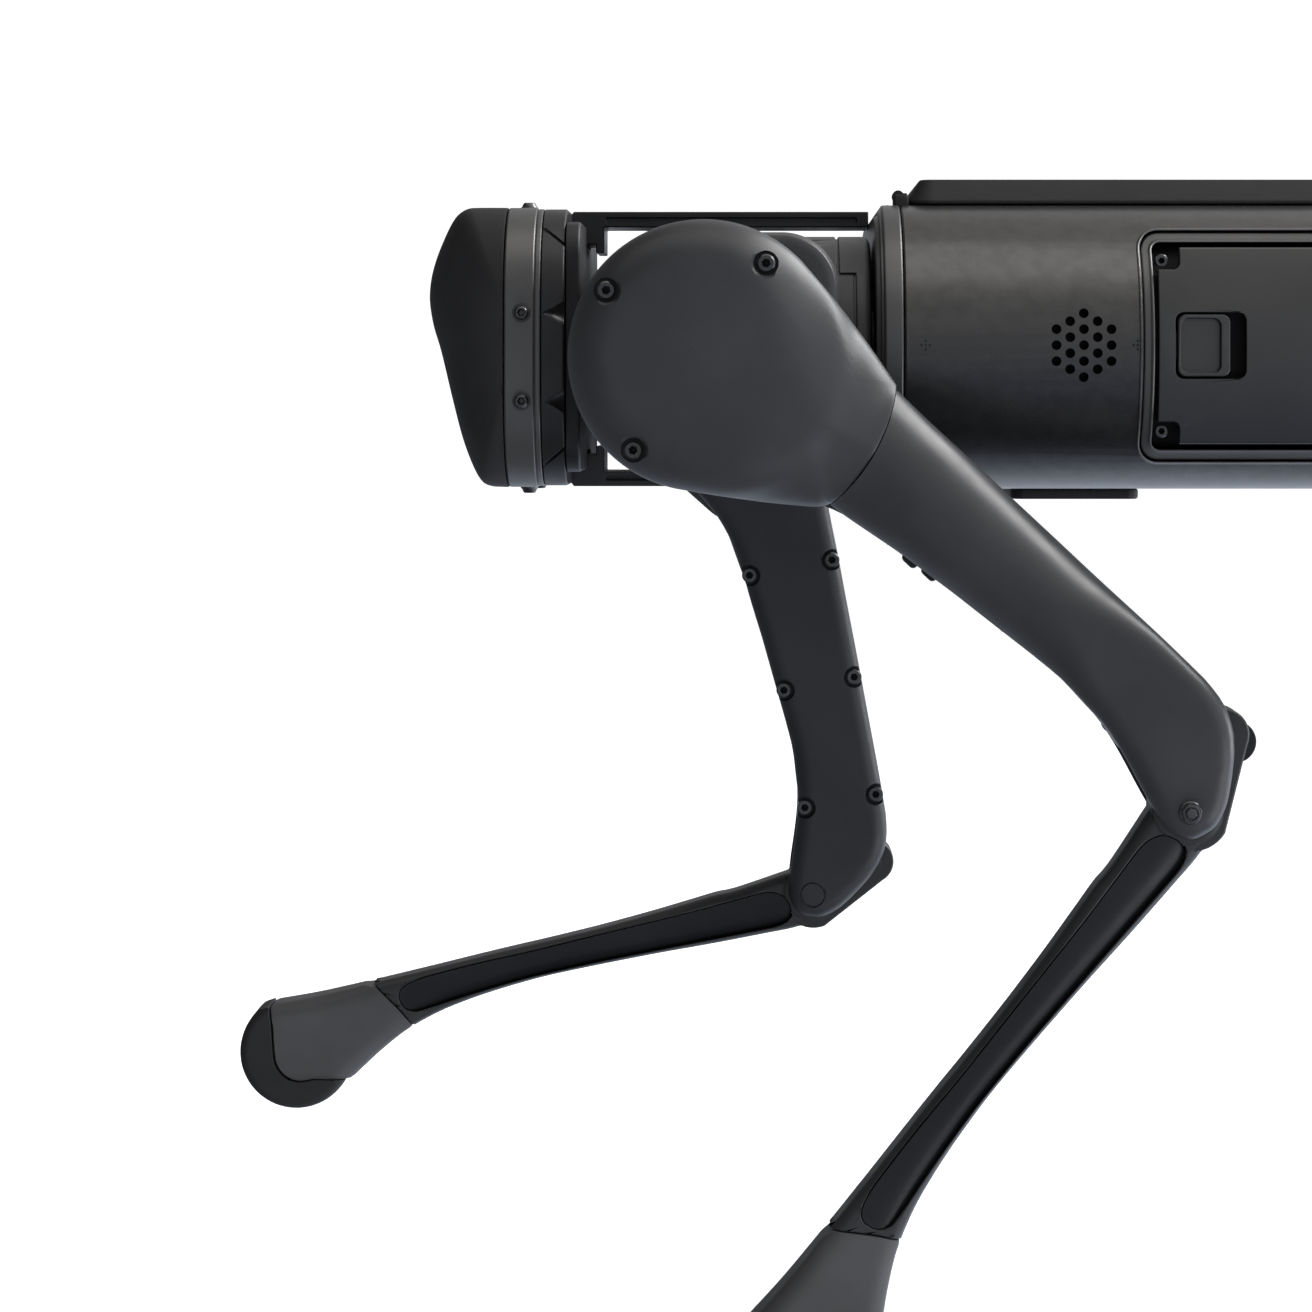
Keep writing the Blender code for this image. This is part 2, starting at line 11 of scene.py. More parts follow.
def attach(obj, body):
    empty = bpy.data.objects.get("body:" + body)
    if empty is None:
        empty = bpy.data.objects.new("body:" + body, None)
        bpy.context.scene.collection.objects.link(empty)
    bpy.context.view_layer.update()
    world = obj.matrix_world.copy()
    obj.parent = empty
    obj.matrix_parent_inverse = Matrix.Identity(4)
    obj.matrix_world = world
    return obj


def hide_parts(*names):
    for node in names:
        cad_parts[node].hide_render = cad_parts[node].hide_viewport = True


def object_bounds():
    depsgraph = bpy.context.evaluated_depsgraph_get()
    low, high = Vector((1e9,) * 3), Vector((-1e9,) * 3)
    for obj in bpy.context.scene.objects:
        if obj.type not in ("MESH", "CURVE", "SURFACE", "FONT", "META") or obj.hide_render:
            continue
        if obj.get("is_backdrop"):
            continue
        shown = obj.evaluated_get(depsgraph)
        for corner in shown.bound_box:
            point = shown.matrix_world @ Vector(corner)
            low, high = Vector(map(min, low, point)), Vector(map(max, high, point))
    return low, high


# Shapes are drawn in millimetres. X is forward, Y is left and Z is up.
MM = 0.001
LINK = 200  # hip to knee, and knee to foot centre
HIP_X = 183  # abduction axes, from the trunk's centre
HIP_Y = 47
KNEE = (0, -LINK)  # the knee axis in a thigh's X and Z, and the foot's centre in a calf's
LEVER = (4.1, 24.7)  # where the knee rod pulls the calf
TUBE_X = 120.5  # half length of the trunk tube
TUBE_SIDE = 51  # centre of the tube's round sides
TUBE_R = 46
TUBE_Z = 3.5  # tube centre above the hip axes
TOP = TUBE_Z + TUBE_R  # the tube's upper and lower sides
BOTTOM = TUBE_Z - TUBE_R
PACK = (-20.75, 66.45)  # battery centre and half length along X
NOSE_X = HIP_X + 40.5  # back of the nose plate
RING_X = HIP_X + 53  # back of the nose ring
NOSE_HALF = (73.5, 45.6)  # the nose's half width and half height
NOSE_CORNER = 30
SEAM_R = 59  # the thigh cover's seam, struck from the hip axis

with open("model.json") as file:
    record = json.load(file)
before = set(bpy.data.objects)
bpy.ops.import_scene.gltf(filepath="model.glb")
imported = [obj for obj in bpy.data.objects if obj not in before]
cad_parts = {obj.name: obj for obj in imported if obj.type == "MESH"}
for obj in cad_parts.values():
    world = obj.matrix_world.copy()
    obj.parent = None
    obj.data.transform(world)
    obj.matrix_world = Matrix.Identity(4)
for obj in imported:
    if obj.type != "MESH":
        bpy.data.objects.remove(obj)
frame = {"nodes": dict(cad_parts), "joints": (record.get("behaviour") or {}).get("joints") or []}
CAD_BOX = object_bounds()
JOINTS = {joint["name"]: Vector(joint["pos_m"]) for joint in frame["joints"] if "pos_m" in joint}


# ---------------- outlines


def arc(centre, radius, start, end, steps):
    """Points on an arc, both ends included; angles in degrees from the first axis to the second."""
    turns = [math.radians(start + (end - start) * i / steps) for i in range(steps + 1)]
    return [(centre[0] + radius * math.cos(a), centre[1] + radius * math.sin(a)) for a in turns]


def circle(centre, radius, steps):
    return arc(centre, radius, 0, 360, steps)[:-1]


def rounded_box(centre, half, radius, steps=8):
    """A rectangle with rounded corners, counter-clockwise."""
    a, b = half[0] - radius, half[1] - radius
    points = []
    for da, db, start in ((a, b, 0), (-a, b, 90), (-a, -b, 180), (a, -b, 270)):
        points += arc((centre[0] + da, centre[1] + db), radius, start, start + 90, steps)
    return points


def stadium(margin=0):
    """The trunk's section in Y and Z, with `margin` taken off all round."""
    right = arc((TUBE_SIDE, TUBE_Z), TUBE_R - margin, -90, 90, 40)
    return right + arc((-TUBE_SIDE, TUBE_Z), TUBE_R - margin, 90, 270, 40)


def curve(points, samples):
    """A Catmull-Rom curve through the points, ends included."""
    ends = [points[0]] + list(points) + [points[-1]]
    line = []
    for i in range(len(points) - 1):
        p0, p1, p2, p3 = (Vector(p) for p in ends[i : i + 4])
        for k in range(samples):
            s = k / samples
            line.append(
                0.5 * (2 * p1 + (p2 - p0) * s + (2 * p0 - 5 * p1 + 4 * p2 - p3) * s * s
                       + (3 * p1 - p0 - 3 * p2 + p3) * s**3)
            )
    return [tuple(p) for p in line] + [tuple(points[-1])]


def inset(outline, distance):
    """The outline moved inwards along its corner normals."""
    count = len(outline)
    points = [Vector(p) for p in outline]
    area = sum(points[i].cross(points[(i + 1) % count]) for i in range(count))
    sign = 1 if area > 0 else -1
    moved = []
    for i in range(count):
        before = (points[i] - points[i - 1]).normalized()
        after = (points[(i + 1) % count] - points[i]).normalized()
        one = Vector((-before.y, before.x)) * sign
        two = Vector((-after.y, after.x)) * sign
        shift = (one + two) / max(0.6, 1 + one.dot(two))
        moved.append(tuple(points[i] + shift * distance))
    return moved


def down(points, facing):
    """Stations (along the link, across it) as X and Z of a leg frame; facing is the sign of X."""
    return [(facing * across, -along) for along, across in points]


def part_of(line, low, high):
    """The points of a line between two stations."""
    return [point for point in line if low < point[0] < high]


def across_at(line, along):
    """The second coordinate of a rising line of points, read at its first."""
    for (a, low), (b, high) in zip(line, line[1:]):
        if along <= b:
            return low + (high - low) * max(0, along - a) / max(b - a, 1e-6)
    return line[-1][1]


def gap_to(point, line):
    """The distance from a point to a line of points."""
    here, best = Vector(point), 1e9
    for a, b in zip(line, line[1:]):
        start, side = Vector(a), Vector(b) - Vector(a)
        share = (here - start).dot(side) / max(side.length_squared, 1e-9)
        best = min(best, (start + side * max(0, min(1, share)) - here).length)
    return best


def dome(x):
    """A quarter round: 0 at the edge, and 1 from a full radius in."""
    return math.sqrt(1 - (1 - max(0, min(1, x))) ** 2)


def ease(x):
    x = max(0, min(1, x))
    return x * x * (3 - 2 * x)


def mix(one, two, share):
    return one + (two - one) * share


# ---------------- solids


def placed(name, data):
    """A new object in the scene."""
    made = bpy.data.objects.new(name, data)
    bpy.context.scene.collection.objects.link(made)
    return made


def shape_from(build):
    """An object from a finished bmesh."""
    mesh = bpy.data.meshes.new("shape")
    build.to_mesh(mesh)
    build.free()
    return placed("shape", mesh)


def body(rings, tube=False):
    """A closed object through equally long rings of points; a tube joins its last ring to its first."""
    build = bmesh.new()
    loops = [[build.verts.new(Vector(p) * MM) for p in ring] for ring in rings]
    pairs = list(zip(loops, loops[1:]))
    if tube:
        pairs.append((loops[-1], loops[0]))
    else:
        build.faces.new(loops[0])
        build.faces.new(loops[-1])
    for low, high in pairs:
        for i in range(len(low)):
            build.faces.new((low[i - 1], low[i], high[i], high[i - 1]))
    bmesh.ops.recalc_face_normals(build, faces=build.faces)
    return shape_from(build)


def ring(axis, outline, height):
    """An outline set square to an axis. It is in YZ for X, in XZ for Y and in XY for Z."""
    if axis == "X":
        return [(height, a, b) for a, b in outline]
    if axis == "Y":
        return [(a, height, b) for a, b in outline]
    return [(a, b, height) for a, b in outline]


def stack(axis, levels, tube=False):
    return body([ring(axis, outline, height) for outline, height in levels], tube)


def stepped(axis, outline, start, profile, tube=False):
    """A solid whose outline, a function of the margin, follows (margin, height over `start`) pairs."""
    return stack(axis, [(outline(margin), start + height) for margin, height in profile], tube)


def prism(axis, outline, low, high, edge=0):
    """An outline drawn out along an axis, with its two ends rounded by `edge`."""
    if not edge:
        return stack(axis, [(outline, low), (outline, high)])
    soft = [(inset(outline, edge), 0), (inset(outline, edge * 0.29), edge * 0.29), (outline, edge)]
    levels = [(line, low + rise) for line, rise in soft]
    return stack(axis, levels + [(line, high - rise) for line, rise in reversed(soft)])


def turned(axis, centre, profile, steps=48):
    """A turned solid from (radius, height) pairs."""
    return stack(axis, [(circle(centre, radius, steps), height) for radius, height in profile])


def cylinder(axis, centre, radius, low, high, steps=32):
    return turned(axis, centre, [(radius, low), (radius, high)], steps)


def box(low, high):
    corners = [(low[0], low[1]), (high[0], low[1]), (high[0], high[1]), (low[0], high[1])]
    return prism("Z", corners, low[2], high[2])


def baked(shape):
    """Applies the shape's modifiers."""
    graph = bpy.context.evaluated_depsgraph_get()
    result = bpy.data.meshes.new_from_object(shape.evaluated_get(graph))
    shape.modifiers.clear()
    shape.data = result
    return shape


def combine(operation, base, tools):
    """Applies one Boolean after another, and removes the tools."""
    for tool in tools:
        step = base.modifiers.new("step", "BOOLEAN")
        step.operation = operation
        step.solver = "EXACT"
        step.object = tool
    baked(base)
    for tool in tools:
        bpy.data.objects.remove(tool)
    return base


def join(base, *tools):
    return combine("UNION", base, tools)


def cut(base, *tools):
    return combine("DIFFERENCE", base, tools)


def common(base, *tools):
    return combine("INTERSECT", base, tools)


def gathered(shapes):
    """Separate small shapes as one object."""
    build = bmesh.new()
    for shape in shapes:
        build.from_mesh(shape.data)
        bpy.data.objects.remove(shape)
    return shape_from(build)


def softened(shape, width=0.35, angle=38, segments=2):
    """Welds stray corners, and rounds the shape's hard edges."""
    build = bmesh.new()
    build.from_mesh(shape.data)
    bmesh.ops.remove_doubles(build, verts=build.verts, dist=0.04 * MM)
    bmesh.ops.dissolve_degenerate(build, edges=build.edges, dist=0.02 * MM)
    build.to_mesh(shape.data)
    build.free()
    step = shape.modifiers.new("edges", "BEVEL")
    step.limit_method = "ANGLE"
    step.angle_limit = math.radians(angle)
    step.width = width * MM
    step.segments = segments
    step.use_clamp_overlap = False
    return baked(shape)


# ---------------- materials


def remap(tree, value, source, target=(0, 1)):
    """The value carried from one range to another, and held inside it."""
    node = tree.nodes.new("ShaderNodeMapRange")
    for socket, number in zip(("From Min", "From Max", "To Min", "To Max"), (*source, *target)):
        node.inputs[socket].default_value = number
    tree.links.new(value, node.inputs["Value"])
    return node.outputs["Result"]


def blend(tree, share, one, two):
    """Two colours mixed by a share; each colour is a socket or three numbers."""
    node = tree.nodes.new("ShaderNodeMix")
    node.data_type = "RGBA"
    tree.links.new(share, node.inputs["Factor"])
    for socket, colour in (("A", one), ("B", two)):
        if isinstance(colour, tuple):
            node.inputs[socket].default_value = (*colour, 1)
        else:
            tree.links.new(colour, node.inputs[socket])
    return node.outputs["Result"]


def skin(name, colour, rough, grain=0.6, depth=0.03, cloud=0.14, wear=0.3, metal=0, gloss=0.5, uneven=1):
    """Moulded plastic or painted metal: cloudy colour, uneven gloss, fine grain and paler worn edges."""
    made = bpy.data.materials.new(name)
    made.use_nodes = True
    tree = made.node_tree
    nodes, links = tree.nodes, tree.links
    shader = nodes["Principled BSDF"].inputs
    shader["Metallic"].default_value = metal
    shader["Specular IOR Level"].default_value = gloss
    place = nodes.new("ShaderNodeTexCoord").outputs["Object"]

    def noise(size, detail):
        node = nodes.new("ShaderNodeTexNoise")
        node.inputs["Scale"].default_value = 1 / (size * MM)
        node.inputs["Detail"].default_value = detail
        links.new(place, node.inputs["Vector"])
        return node.outputs["Fac"]

    def bump(height, strength, deep):
        node = nodes.new("ShaderNodeBump")
        node.inputs["Strength"].default_value = strength
        node.inputs["Distance"].default_value = deep * MM
        links.new(height, node.inputs["Height"])
        return node

    low, high = (tuple(c * (1 + share) for c in colour) for share in (-cloud, cloud))
    worn = tuple(min(1, c * 1.9 + 0.012) for c in colour)
    clouds = blend(tree, remap(tree, noise(38, 4), (0.35, 0.65)), low, high)
    rubbed = nodes.new("ShaderNodeMath")
    rubbed.operation = "MULTIPLY"
    sharpness = nodes.new("ShaderNodeNewGeometry").outputs["Pointiness"]
    links.new(remap(tree, sharpness, (0.53, 0.62), (0, wear)), rubbed.inputs[0])
    links.new(remap(tree, noise(5, 5), (0.38, 0.6)), rubbed.inputs[1])
    links.new(blend(tree, rubbed.outputs[0], clouds, worn), shader["Base Color"])
    spread = 0.05 * uneven
    links.new(remap(tree, noise(9, 5), (0.3, 0.7), (rough - spread, rough + spread)), shader["Roughness"])
    waves = bump(noise(7, 2), 0.35, 0.05 * uneven)
    links.new(bump(noise(grain, 2), 0.6, depth).outputs["Normal"], waves.inputs["Normal"])
    links.new(waves.outputs["Normal"], shader["Normal"])
    return made


SKINS = {
    "cover": skin("cover_plastic", (0.032, 0.033, 0.036), 0.37),
    "cover_inside": skin("cover_inside_plastic", (0.020, 0.021, 0.024), 0.43),
    "arm": skin("arm_casting", (0.022, 0.0225, 0.024), 0.42, grain=0.8, depth=0.05),
    "bracket": skin("bracket_casting", (0.044, 0.044, 0.046), 0.40, grain=0.8, depth=0.04),
    "tube": skin("tube_anodised", (0.112, 0.110, 0.108), 0.28,
                 grain=0.45, depth=0.012, cloud=0.05, metal=0.95, uneven=0.25),
    "panel": skin("panel_anodised", (0.105, 0.104, 0.103), 0.30,
                  depth=0.015, cloud=0.05, metal=0.92, uneven=0.25),
    "band": skin("band_anodised", (0.122, 0.121, 0.120), 0.36, grain=0.45, depth=0.02, metal=0.7, uneven=0.5),
    "deck": skin("deck_plastic", (0.014, 0.014, 0.015), 0.50, grain=0.8, depth=0.05, gloss=0.35),
    "black": skin("black_casting", (0.008, 0.008, 0.009), 0.5, grain=0.8, depth=0.05),
    "rail": skin("rail_black", (0.016, 0.016, 0.018), 0.36),
    "casting": skin("nose_casting", (0.052, 0.052, 0.054), 0.38, grain=0.8, metal=0.8),
    "head": skin("head_plastic", (0.022, 0.022, 0.023), 0.60, grain=0.9, depth=0.05, gloss=0.18),
    "screw": skin("screw_black", (0.115, 0.115, 0.118), 0.22, wear=0.5, metal=0.9),
    "steel": skin("steel_bright", (0.30, 0.30, 0.31), 0.32, metal=1),
    "motor": skin("motor_casting", (0.10, 0.10, 0.105), 0.42, grain=0.8, depth=0.06, metal=0.7),
    "board": skin("board_lacquer", (0.015, 0.06, 0.03), 0.45, wear=0.1),
    # Near-black painted shade, for the battery body seen in the panel's notches and the mesh behind the grille
    # holes.
    "shadow": skin("painted_shade_black", (0.003, 0.003, 0.0035), 0.70, gloss=0.15),
    "pocket": skin("pocket_plastic", (0.006, 0.0065, 0.0075), 0.34),
    "boot": skin("boot_plastic", (0.058, 0.058, 0.060), 0.50, grain=0.8, depth=0.06),
    "sole": skin("sole_rubber", (0.016, 0.016, 0.017), 0.60, grain=1, depth=0.10, gloss=0.4),
    "glass": skin("window_glass", (0.004, 0.004, 0.005), 0.10, depth=0.004, wear=0, gloss=0.8),
}


def show(name, mesh, rider, finish, nodes=(), slot=None):
    """A finished piece at its place in the frame, riding on its CAD body."""
    mesh.name = name
    mesh.materials.clear()
    mesh.materials.append(SKINS[finish])
    mesh.shade_smooth()
    mesh.set_sharp_from_angle(angle=math.radians(34))
    piece = placed(name, mesh)
    piece.modifiers.new("normals", "WEIGHTED_NORMAL").keep_sharp = True
    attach(piece, rider)
    if nodes:
        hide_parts(*nodes)


def moved(mesh, matrix):
    """A copy of the mesh, carried by the matrix; a mirror keeps its faces outward."""
    copy = mesh.copy()
    copy.transform(matrix)
    if matrix.determinant() < 0:
        copy.flip_normals()
    return copy


def take_mesh(shape):
    mesh = shape.data
    bpy.data.objects.remove(shape)
    return mesh


# ---------------- screws


def socket_screw(centre, top, depth, radius, facing=1):
    """A cap screw along Y with a hexagon socket; `facing` is the sign of its outer end."""
    rim = [(radius, depth), (radius, 0.35), (radius * 0.86, 0)]
    socket = [(0.05, -1.2), (0.52, -0.75), (0.52, 0.7)]
    head = turned("Y", centre, [(r, top - facing * fall) for r, fall in rim], 28)
    return cut(head, turned("Y", centre, [(radius * r, top + facing * radius * rise) for r, rise in socket], 6))


def button_screws(places, radius, height):
    """Button-head screws at (place, turn about X in degrees) pairs; unturned, a screw points up."""
    profile = [(1, -1), (1, 0.35), (0.93, 0.5), (0.86, 0.5), (0.8, 0.75), (0.7, 1.05), (0.58, 1.2)]
    socket = [(0.03, -0.5), (0.46, 0.35), (0.46, 4)]
    screws = []
    for place, turn in places:
        head, hollow = (turned("Z", (0, 0), [(radius * r, height * rise) for r, rise in line], steps)
                        for line, steps in ((profile, 28), (socket, 6)))
        screw = cut(head, hollow)
        pose = Matrix.Translation(Vector(place) * MM) @ Matrix.Rotation(math.radians(turn), 4, "X")
        screw.data.transform(pose)
        screws.append(screw)
    return gathered(screws)


# ---------------- thigh

NECK_BACK = curve([(2.1, 40.95), (19.6, 39), (34.3, 36.5), (48.6, 33.4)], 8)
NECK_FRONT = curve([(24.1, -33.2), (33.4, -27), (42.6, -20.6), (51, -14.2), (56.5, -9.7), (58.7, -6.2)], 5)
TUBE_BACK = curve(
    [(40, 33.6), (48.5, 32.6), (63.7, 32.3), (78, 32.5), (95, 32.5), (115.6, 32.6),
     (143.5, 32.6), (158.5, 32.6), (171.7, 32.4), (177.5, 32.2), (185.2, 30.9), (191, 28.4),
     (195.5, 25.1), (199, 21.2), (203.8, 14.6), (207.4, 8.6), (209.2, 2.8)], 5)
TUBE_FRONT = curve(
    [(40, -7.6), (60, -6.7), (83, -3.2), (93.5, -2), (104, -0.8), (114, 0.1),
     (125, 1.1), (136, 2.1), (146.6, 2.7), (157.3, 2), (163.8, 1.5), (171.7, -0.3),
     (178.8, -2.5), (187, -5.3), (194.6, -7.6), (199, -8.3), (203.5, -7.6), (207.2, -5), (209.2, 0.6)], 5)
INNER_FRONT = curve([(43, -16.6), (50, -12.4), (58, -8.2), (68, -5.2), (83, -2.9)], 5)
INNER_FRONT += part_of(TUBE_FRONT, 83, 210)
CAP_EDGE = NECK_BACK[::-1] + arc((0, 0), 41, 87, 306, 90)[1:-1] + NECK_FRONT
SEATS = [(-34.4, -5.7), (-5.1, 32.9), (4.2, -35)]  # cover screws, along and across the thigh
CLIPS = [(t, across_at(line, t) + inward) for t in (80, 124, 168)  # screws along the inner cover's edges
         for line, inward in ((TUBE_FRONT, 2.6), (TUBE_BACK, -2.6))]


def on_thigh(seat):
    """A screw's place as X and Z of the thigh's frame."""
    return down([seat], -1)[0]


def cap_base(t, n):
    """The height of the cover's underside, over the drum and outside it."""
    return mix(8.8, 4, ease((math.hypot(t, n) - 41.2) / 5))


def cap_top(t, n):
    """The cover's height: domed over the motor, rounded at its free edge and lower along the neck."""
    radius = math.hypot(t, n)
    crown = 24.2 - 0.00195 * radius**2
    width = 12 + 20 * ease((t + n - 12) / 48)
    rim = cap_base(t, n) + 1.2
    height = rim + (crown - rim) * dome(gap_to((t, n), CAP_EDGE) / width)
    neck = -8 < math.degrees(math.atan2(n, t)) < 37
    return height - (0.5 * (1 - dome((SEAM_R - radius) / 0.8)) if neck and radius > 50 else 0)


def thigh_cap():
    """The cover: a domed top over a stepped underside, with its screw bores."""
    outline = CAP_EDGE + arc((0, 0), SEAM_R, -6, 34.5, 22)[1:-1]

    def level(share, height):
        points = [(t * share, n * share) for t, n in outline]
        return [(-n, height(t, n), -t) for t, n in points]

    rounding = [1 - 0.36 * (1 - math.cos(math.radians(90 * i / 12))) for i in range(1, 13)]
    rings = [level(share, cap_base) for share in (0.02, 0.4, 0.7, 0.8, 0.9, 0.96, 1)]
    rings += [level(share, cap_top) for share in [1, 0.9985] + rounding + [0.55, 0.45, 0.34, 0.22, 0.11, 0.02]]
    bores = []
    for seat in SEATS:
        rim = cap_top(*seat)
        profile = [(3.8, 14), (3.8, rim - 0.5), (4.6, rim + 0.4), (4.6, 40)]
        bores.append(turned("Y", on_thigh(seat), profile, 40))
    return cut(body(rings), *bores)


def tube_half(front, back, start, side, shape):
    """Half of the thigh tube: `shape` gives its edge radius and straight wall at a station."""
    edge = front + back[::-1]
    stations = [start + i * 3.5 for i in range(int((196 - start) / 3.5) + 1)]
    stations += [198, 199.5, 201, 202.4, 203.7, 204.9, 206, 206.9, 207.7, 208.4, 208.9, 209.2]
    joint = 0 if side > 0 else 0.3  # where this half meets the other
    rings = []
    for t in stations:
        near, far = across_at(front, t), across_at(back, t)
        radius, wall = shape(t, (far - near) / 2)
        section = [(near, joint)]
        for i in range(33):
            n = near + (far - near) * (1 - math.cos(math.pi * i / 32)) / 2
            section.append((n, wall + (16.5 - wall) * dome(gap_to((t, n), edge) / radius)))
        section.append((far, joint))
        rings.append([(-n, side * y, -t) for n, y in section])
    return body(rings)


def outer_shape(t, half):
    """Round along the tube, and flat with small edges at the knee."""
    flat = ease((t - 126) / 34)
    return mix(half, 5.5, flat), mix(0.4, 11, flat)


def inner_shape(t, half):
    return 5.5, 11


def rod_space(low, high):
    """The room inside the tube for the rod, open at the knee."""
    front = [(t, n + 3.2) for t, n in part_of(TUBE_FRONT, 62, 182)]
    back = [(t, n - 3.2) for t, n in part_of(TUBE_BACK, 30, 182)]
    outline = [(30, -4)] + front + back[::-1]
    return prism("Y", down(outline, -1), low, high)


def thigh_shell():
    """The motor-side drum and the outer half of the tube, in one casting."""
    tube = tube_half(TUBE_FRONT, TUBE_BACK, 40, 1, outer_shape)
    tube = cut(tube, cylinder("Y", (0, 0), SEAM_R + 0.25, -5, 30, 120))
    drum = turned("Y", (0, 0), [(39.4, -22.3), (40.5, -21.2), (40.5, 7.9), (40, 8.45)], 96)
    neck = NECK_FRONT + arc((0, 0), SEAM_R + 2, -4, 31, 8)
    neck += part_of(NECK_BACK, 5, 50)[::-1] + [(5, 0)]
    shape = join(drum, prism("Y", down(inset(neck, 0.25), -1), 0, 3.7), tube)
    cavity = cylinder("Y", (0, 0), 36, -18.8, 30, 72)
    slot = box((-60, -5, -230), (40, 10.5, -172))
    passage = box((-30, -4.5, -60), (-6, 5.5, -20))
    bolt_seat = cylinder("Y", KNEE, 3.6, 16, 30, 40)
    return cut(shape, cavity, rod_space(-1, 5.5), slot, passage, bolt_seat)


def thigh_inner():
    """The cover that closes the tube on the body side, with its screw notches."""
    shape = tube_half(INNER_FRONT, TUBE_BACK, 43, -1, inner_shape)
    drum = cylinder("Y", (0, 0), 41.4, -30, 10, 96)
    slot = box((-60, -10.5, -230), (40, 5, -172))
    passage = box((-30, -5.5, -60), (-6, 5, -20))
    notches = [cylinder("Y", on_thigh(seat), 3.9, -30, -12.4, 36) for seat in CLIPS]
    groove = cut(cylinder("Y", KNEE, 4.7, -30, -15.9, 40), cylinder("Y", KNEE, 4.2, -40, 0, 40))
    return softened(cut(shape, drum, slot, rod_space(-5.5, 5), passage, groove, *notches), 0.3, 40)


def thigh_screws():
    """Cover screws, inner screws, and the knee's washer, nut and bolt end."""
    screws = [socket_screw(on_thigh(seat), 19.4, 5.8, 2.7) for seat in SEATS]
    screws += [socket_screw(on_thigh(seat), -15.6, 3.6, 2.8, -1) for seat in CLIPS]
    screws.append(turned("Y", KNEE, [(3.45, 15), (3.45, 17), (3.25, 17.2)], 40))
    nut = prism("Y", circle(KNEE, 3.1, 6), 15.5, 19.8, 0.4)
    screws.append(cut(nut, cylinder("Y", KNEE, 2.1, 18.4, 30)))
    screws.append(prism("Y", circle(KNEE, 1.8, 6), 18, 20.1, 0.35))
    return gathered(screws)


def thigh_stops():
    """Two small rubber blocks under the front edge of the inner cover."""
    places = ((1.1, -88.5), (0, -95.5))
    return gathered([prism("Y", rounded_box(place, (2.9, 2.7), 1.4, 5), -8.4, -3.4, 0.8) for place in places])


# ---------------- calf and foot

SHIN_FRONT = curve(
    [(-2, 9.2), (8, 9), (20, 8.6), (29, 8.5), (34, 9.1), (44, 9.2), (60, 9.4), (80, 10.1),
     (100, 11.3), (112, 12.2), (126, 13.1), (145, 14.2), (165, 15.5), (187, 17.1), (204.6, 19.4)], 5)
SHIN_BACK = curve(
    [(-2, -11), (10, -11.2), (20, -10.2), (40, -8), (60, -5.5), (80, -3.3), (100, -1.4),
     (112, -0.8), (126, -0.7), (140, -1.4), (150, -2.8), (160, -5.2), (170, -9.1), (177, -12.4),
     (184.2, -16)], 5)
ANKLE = [(155.9, -3.8), (158.6, 2.9), (164.7, 14.3), (166.2, 16.6)]  # the seam between calf and boot
SOLE = curve(  # the seam between boot and sole
    [(184, -15.4), (190.6, -13.4), (196.1, -11.6), (202, -10.6), (206.2, -7.5), (208.1, -3), (208, 1),
     (206.9, 6), (205.3, 12.8), (204.4, 18.6)], 4)
POCKET = curve(
    [(9.2, -2.5), (10.2, 1.2), (13.4, 3.9), (18, 5.1), (28, 5.5), (45, 6.1), (65, 7.3), (85, 8.5),
     (105, 9.7), (125, 11.3), (140, 12.1), (149, 12.3), (154.8, 11.4), (157.5, 9.4), (158, 6.6),
     (157.2, 3.6), (154.9, 1.6), (151, 0.8), (132, 0.9), (112, 0.6), (96, -0.5), (80, -1.9),
     (62, -3.8), (44, -5.7), (26, -7.6), (16, -8.5), (11.6, -7.6), (9.6, -5.4)], 3)


def shin():
    """The calf's bar, rounded at its front and back edges, down to the ankle seam."""
    rings = []
    for i in range(62):
        t = -1 + 175 * i / 61
        front, back = across_at(SHIN_FRONT, t), across_at(SHIN_BACK, t)
        half = []
        for k in range(17):
            n = back + (front - back) * (1 - math.cos(math.pi * k / 16)) / 2
            half.append((n, 4.6 + 3.9 * dome(min(front - n, n - back) / 3.4)))
        rings.append([(n, y, -t) for n, y in half] + [(n, -y, -t) for n, y in reversed(half)])
    below = down(ANKLE + [(230, 40), (230, -40), (156, -20)], 1)
    return cut(body(rings), prism("Y", below, -30, 30))


def pocket(margin=0):
    """The long recess in each side of the calf."""
    return down(inset(POCKET, margin), 1)


def lever_outline():
    lean = math.degrees(math.atan2(LEVER[1], LEVER[0]))
    return arc((-2, 0), 11.6, lean + 96, lean + 264, 20) + arc(LEVER, 8, lean - 86, lean + 86, 20)


def calf():
    """The shin with its hub, forked lever and pocketed sides."""
    hub = turned("Y", (0, 0), [(10, -9), (10.8, -8.2), (10.8, 8.2), (10, 9)], 64)
    ears = [prism("Y", lever_outline(), low, low + 4.8, 0.6) for low in (3.4, -8.2)]
    axle = cylinder("Y", (0, 0), 5, -15.4, 15.4)
    pin = cylinder("Y", LEVER, 3, -8.6, 8.6)
    shape = join(shin(), hub, *ears, axle, pin)
    sides = [prism("Y", pocket(), *span) for span in ((3, 20), (-20, -3))]
    return softened(cut(shape, *sides), 0.45, 40, 3)


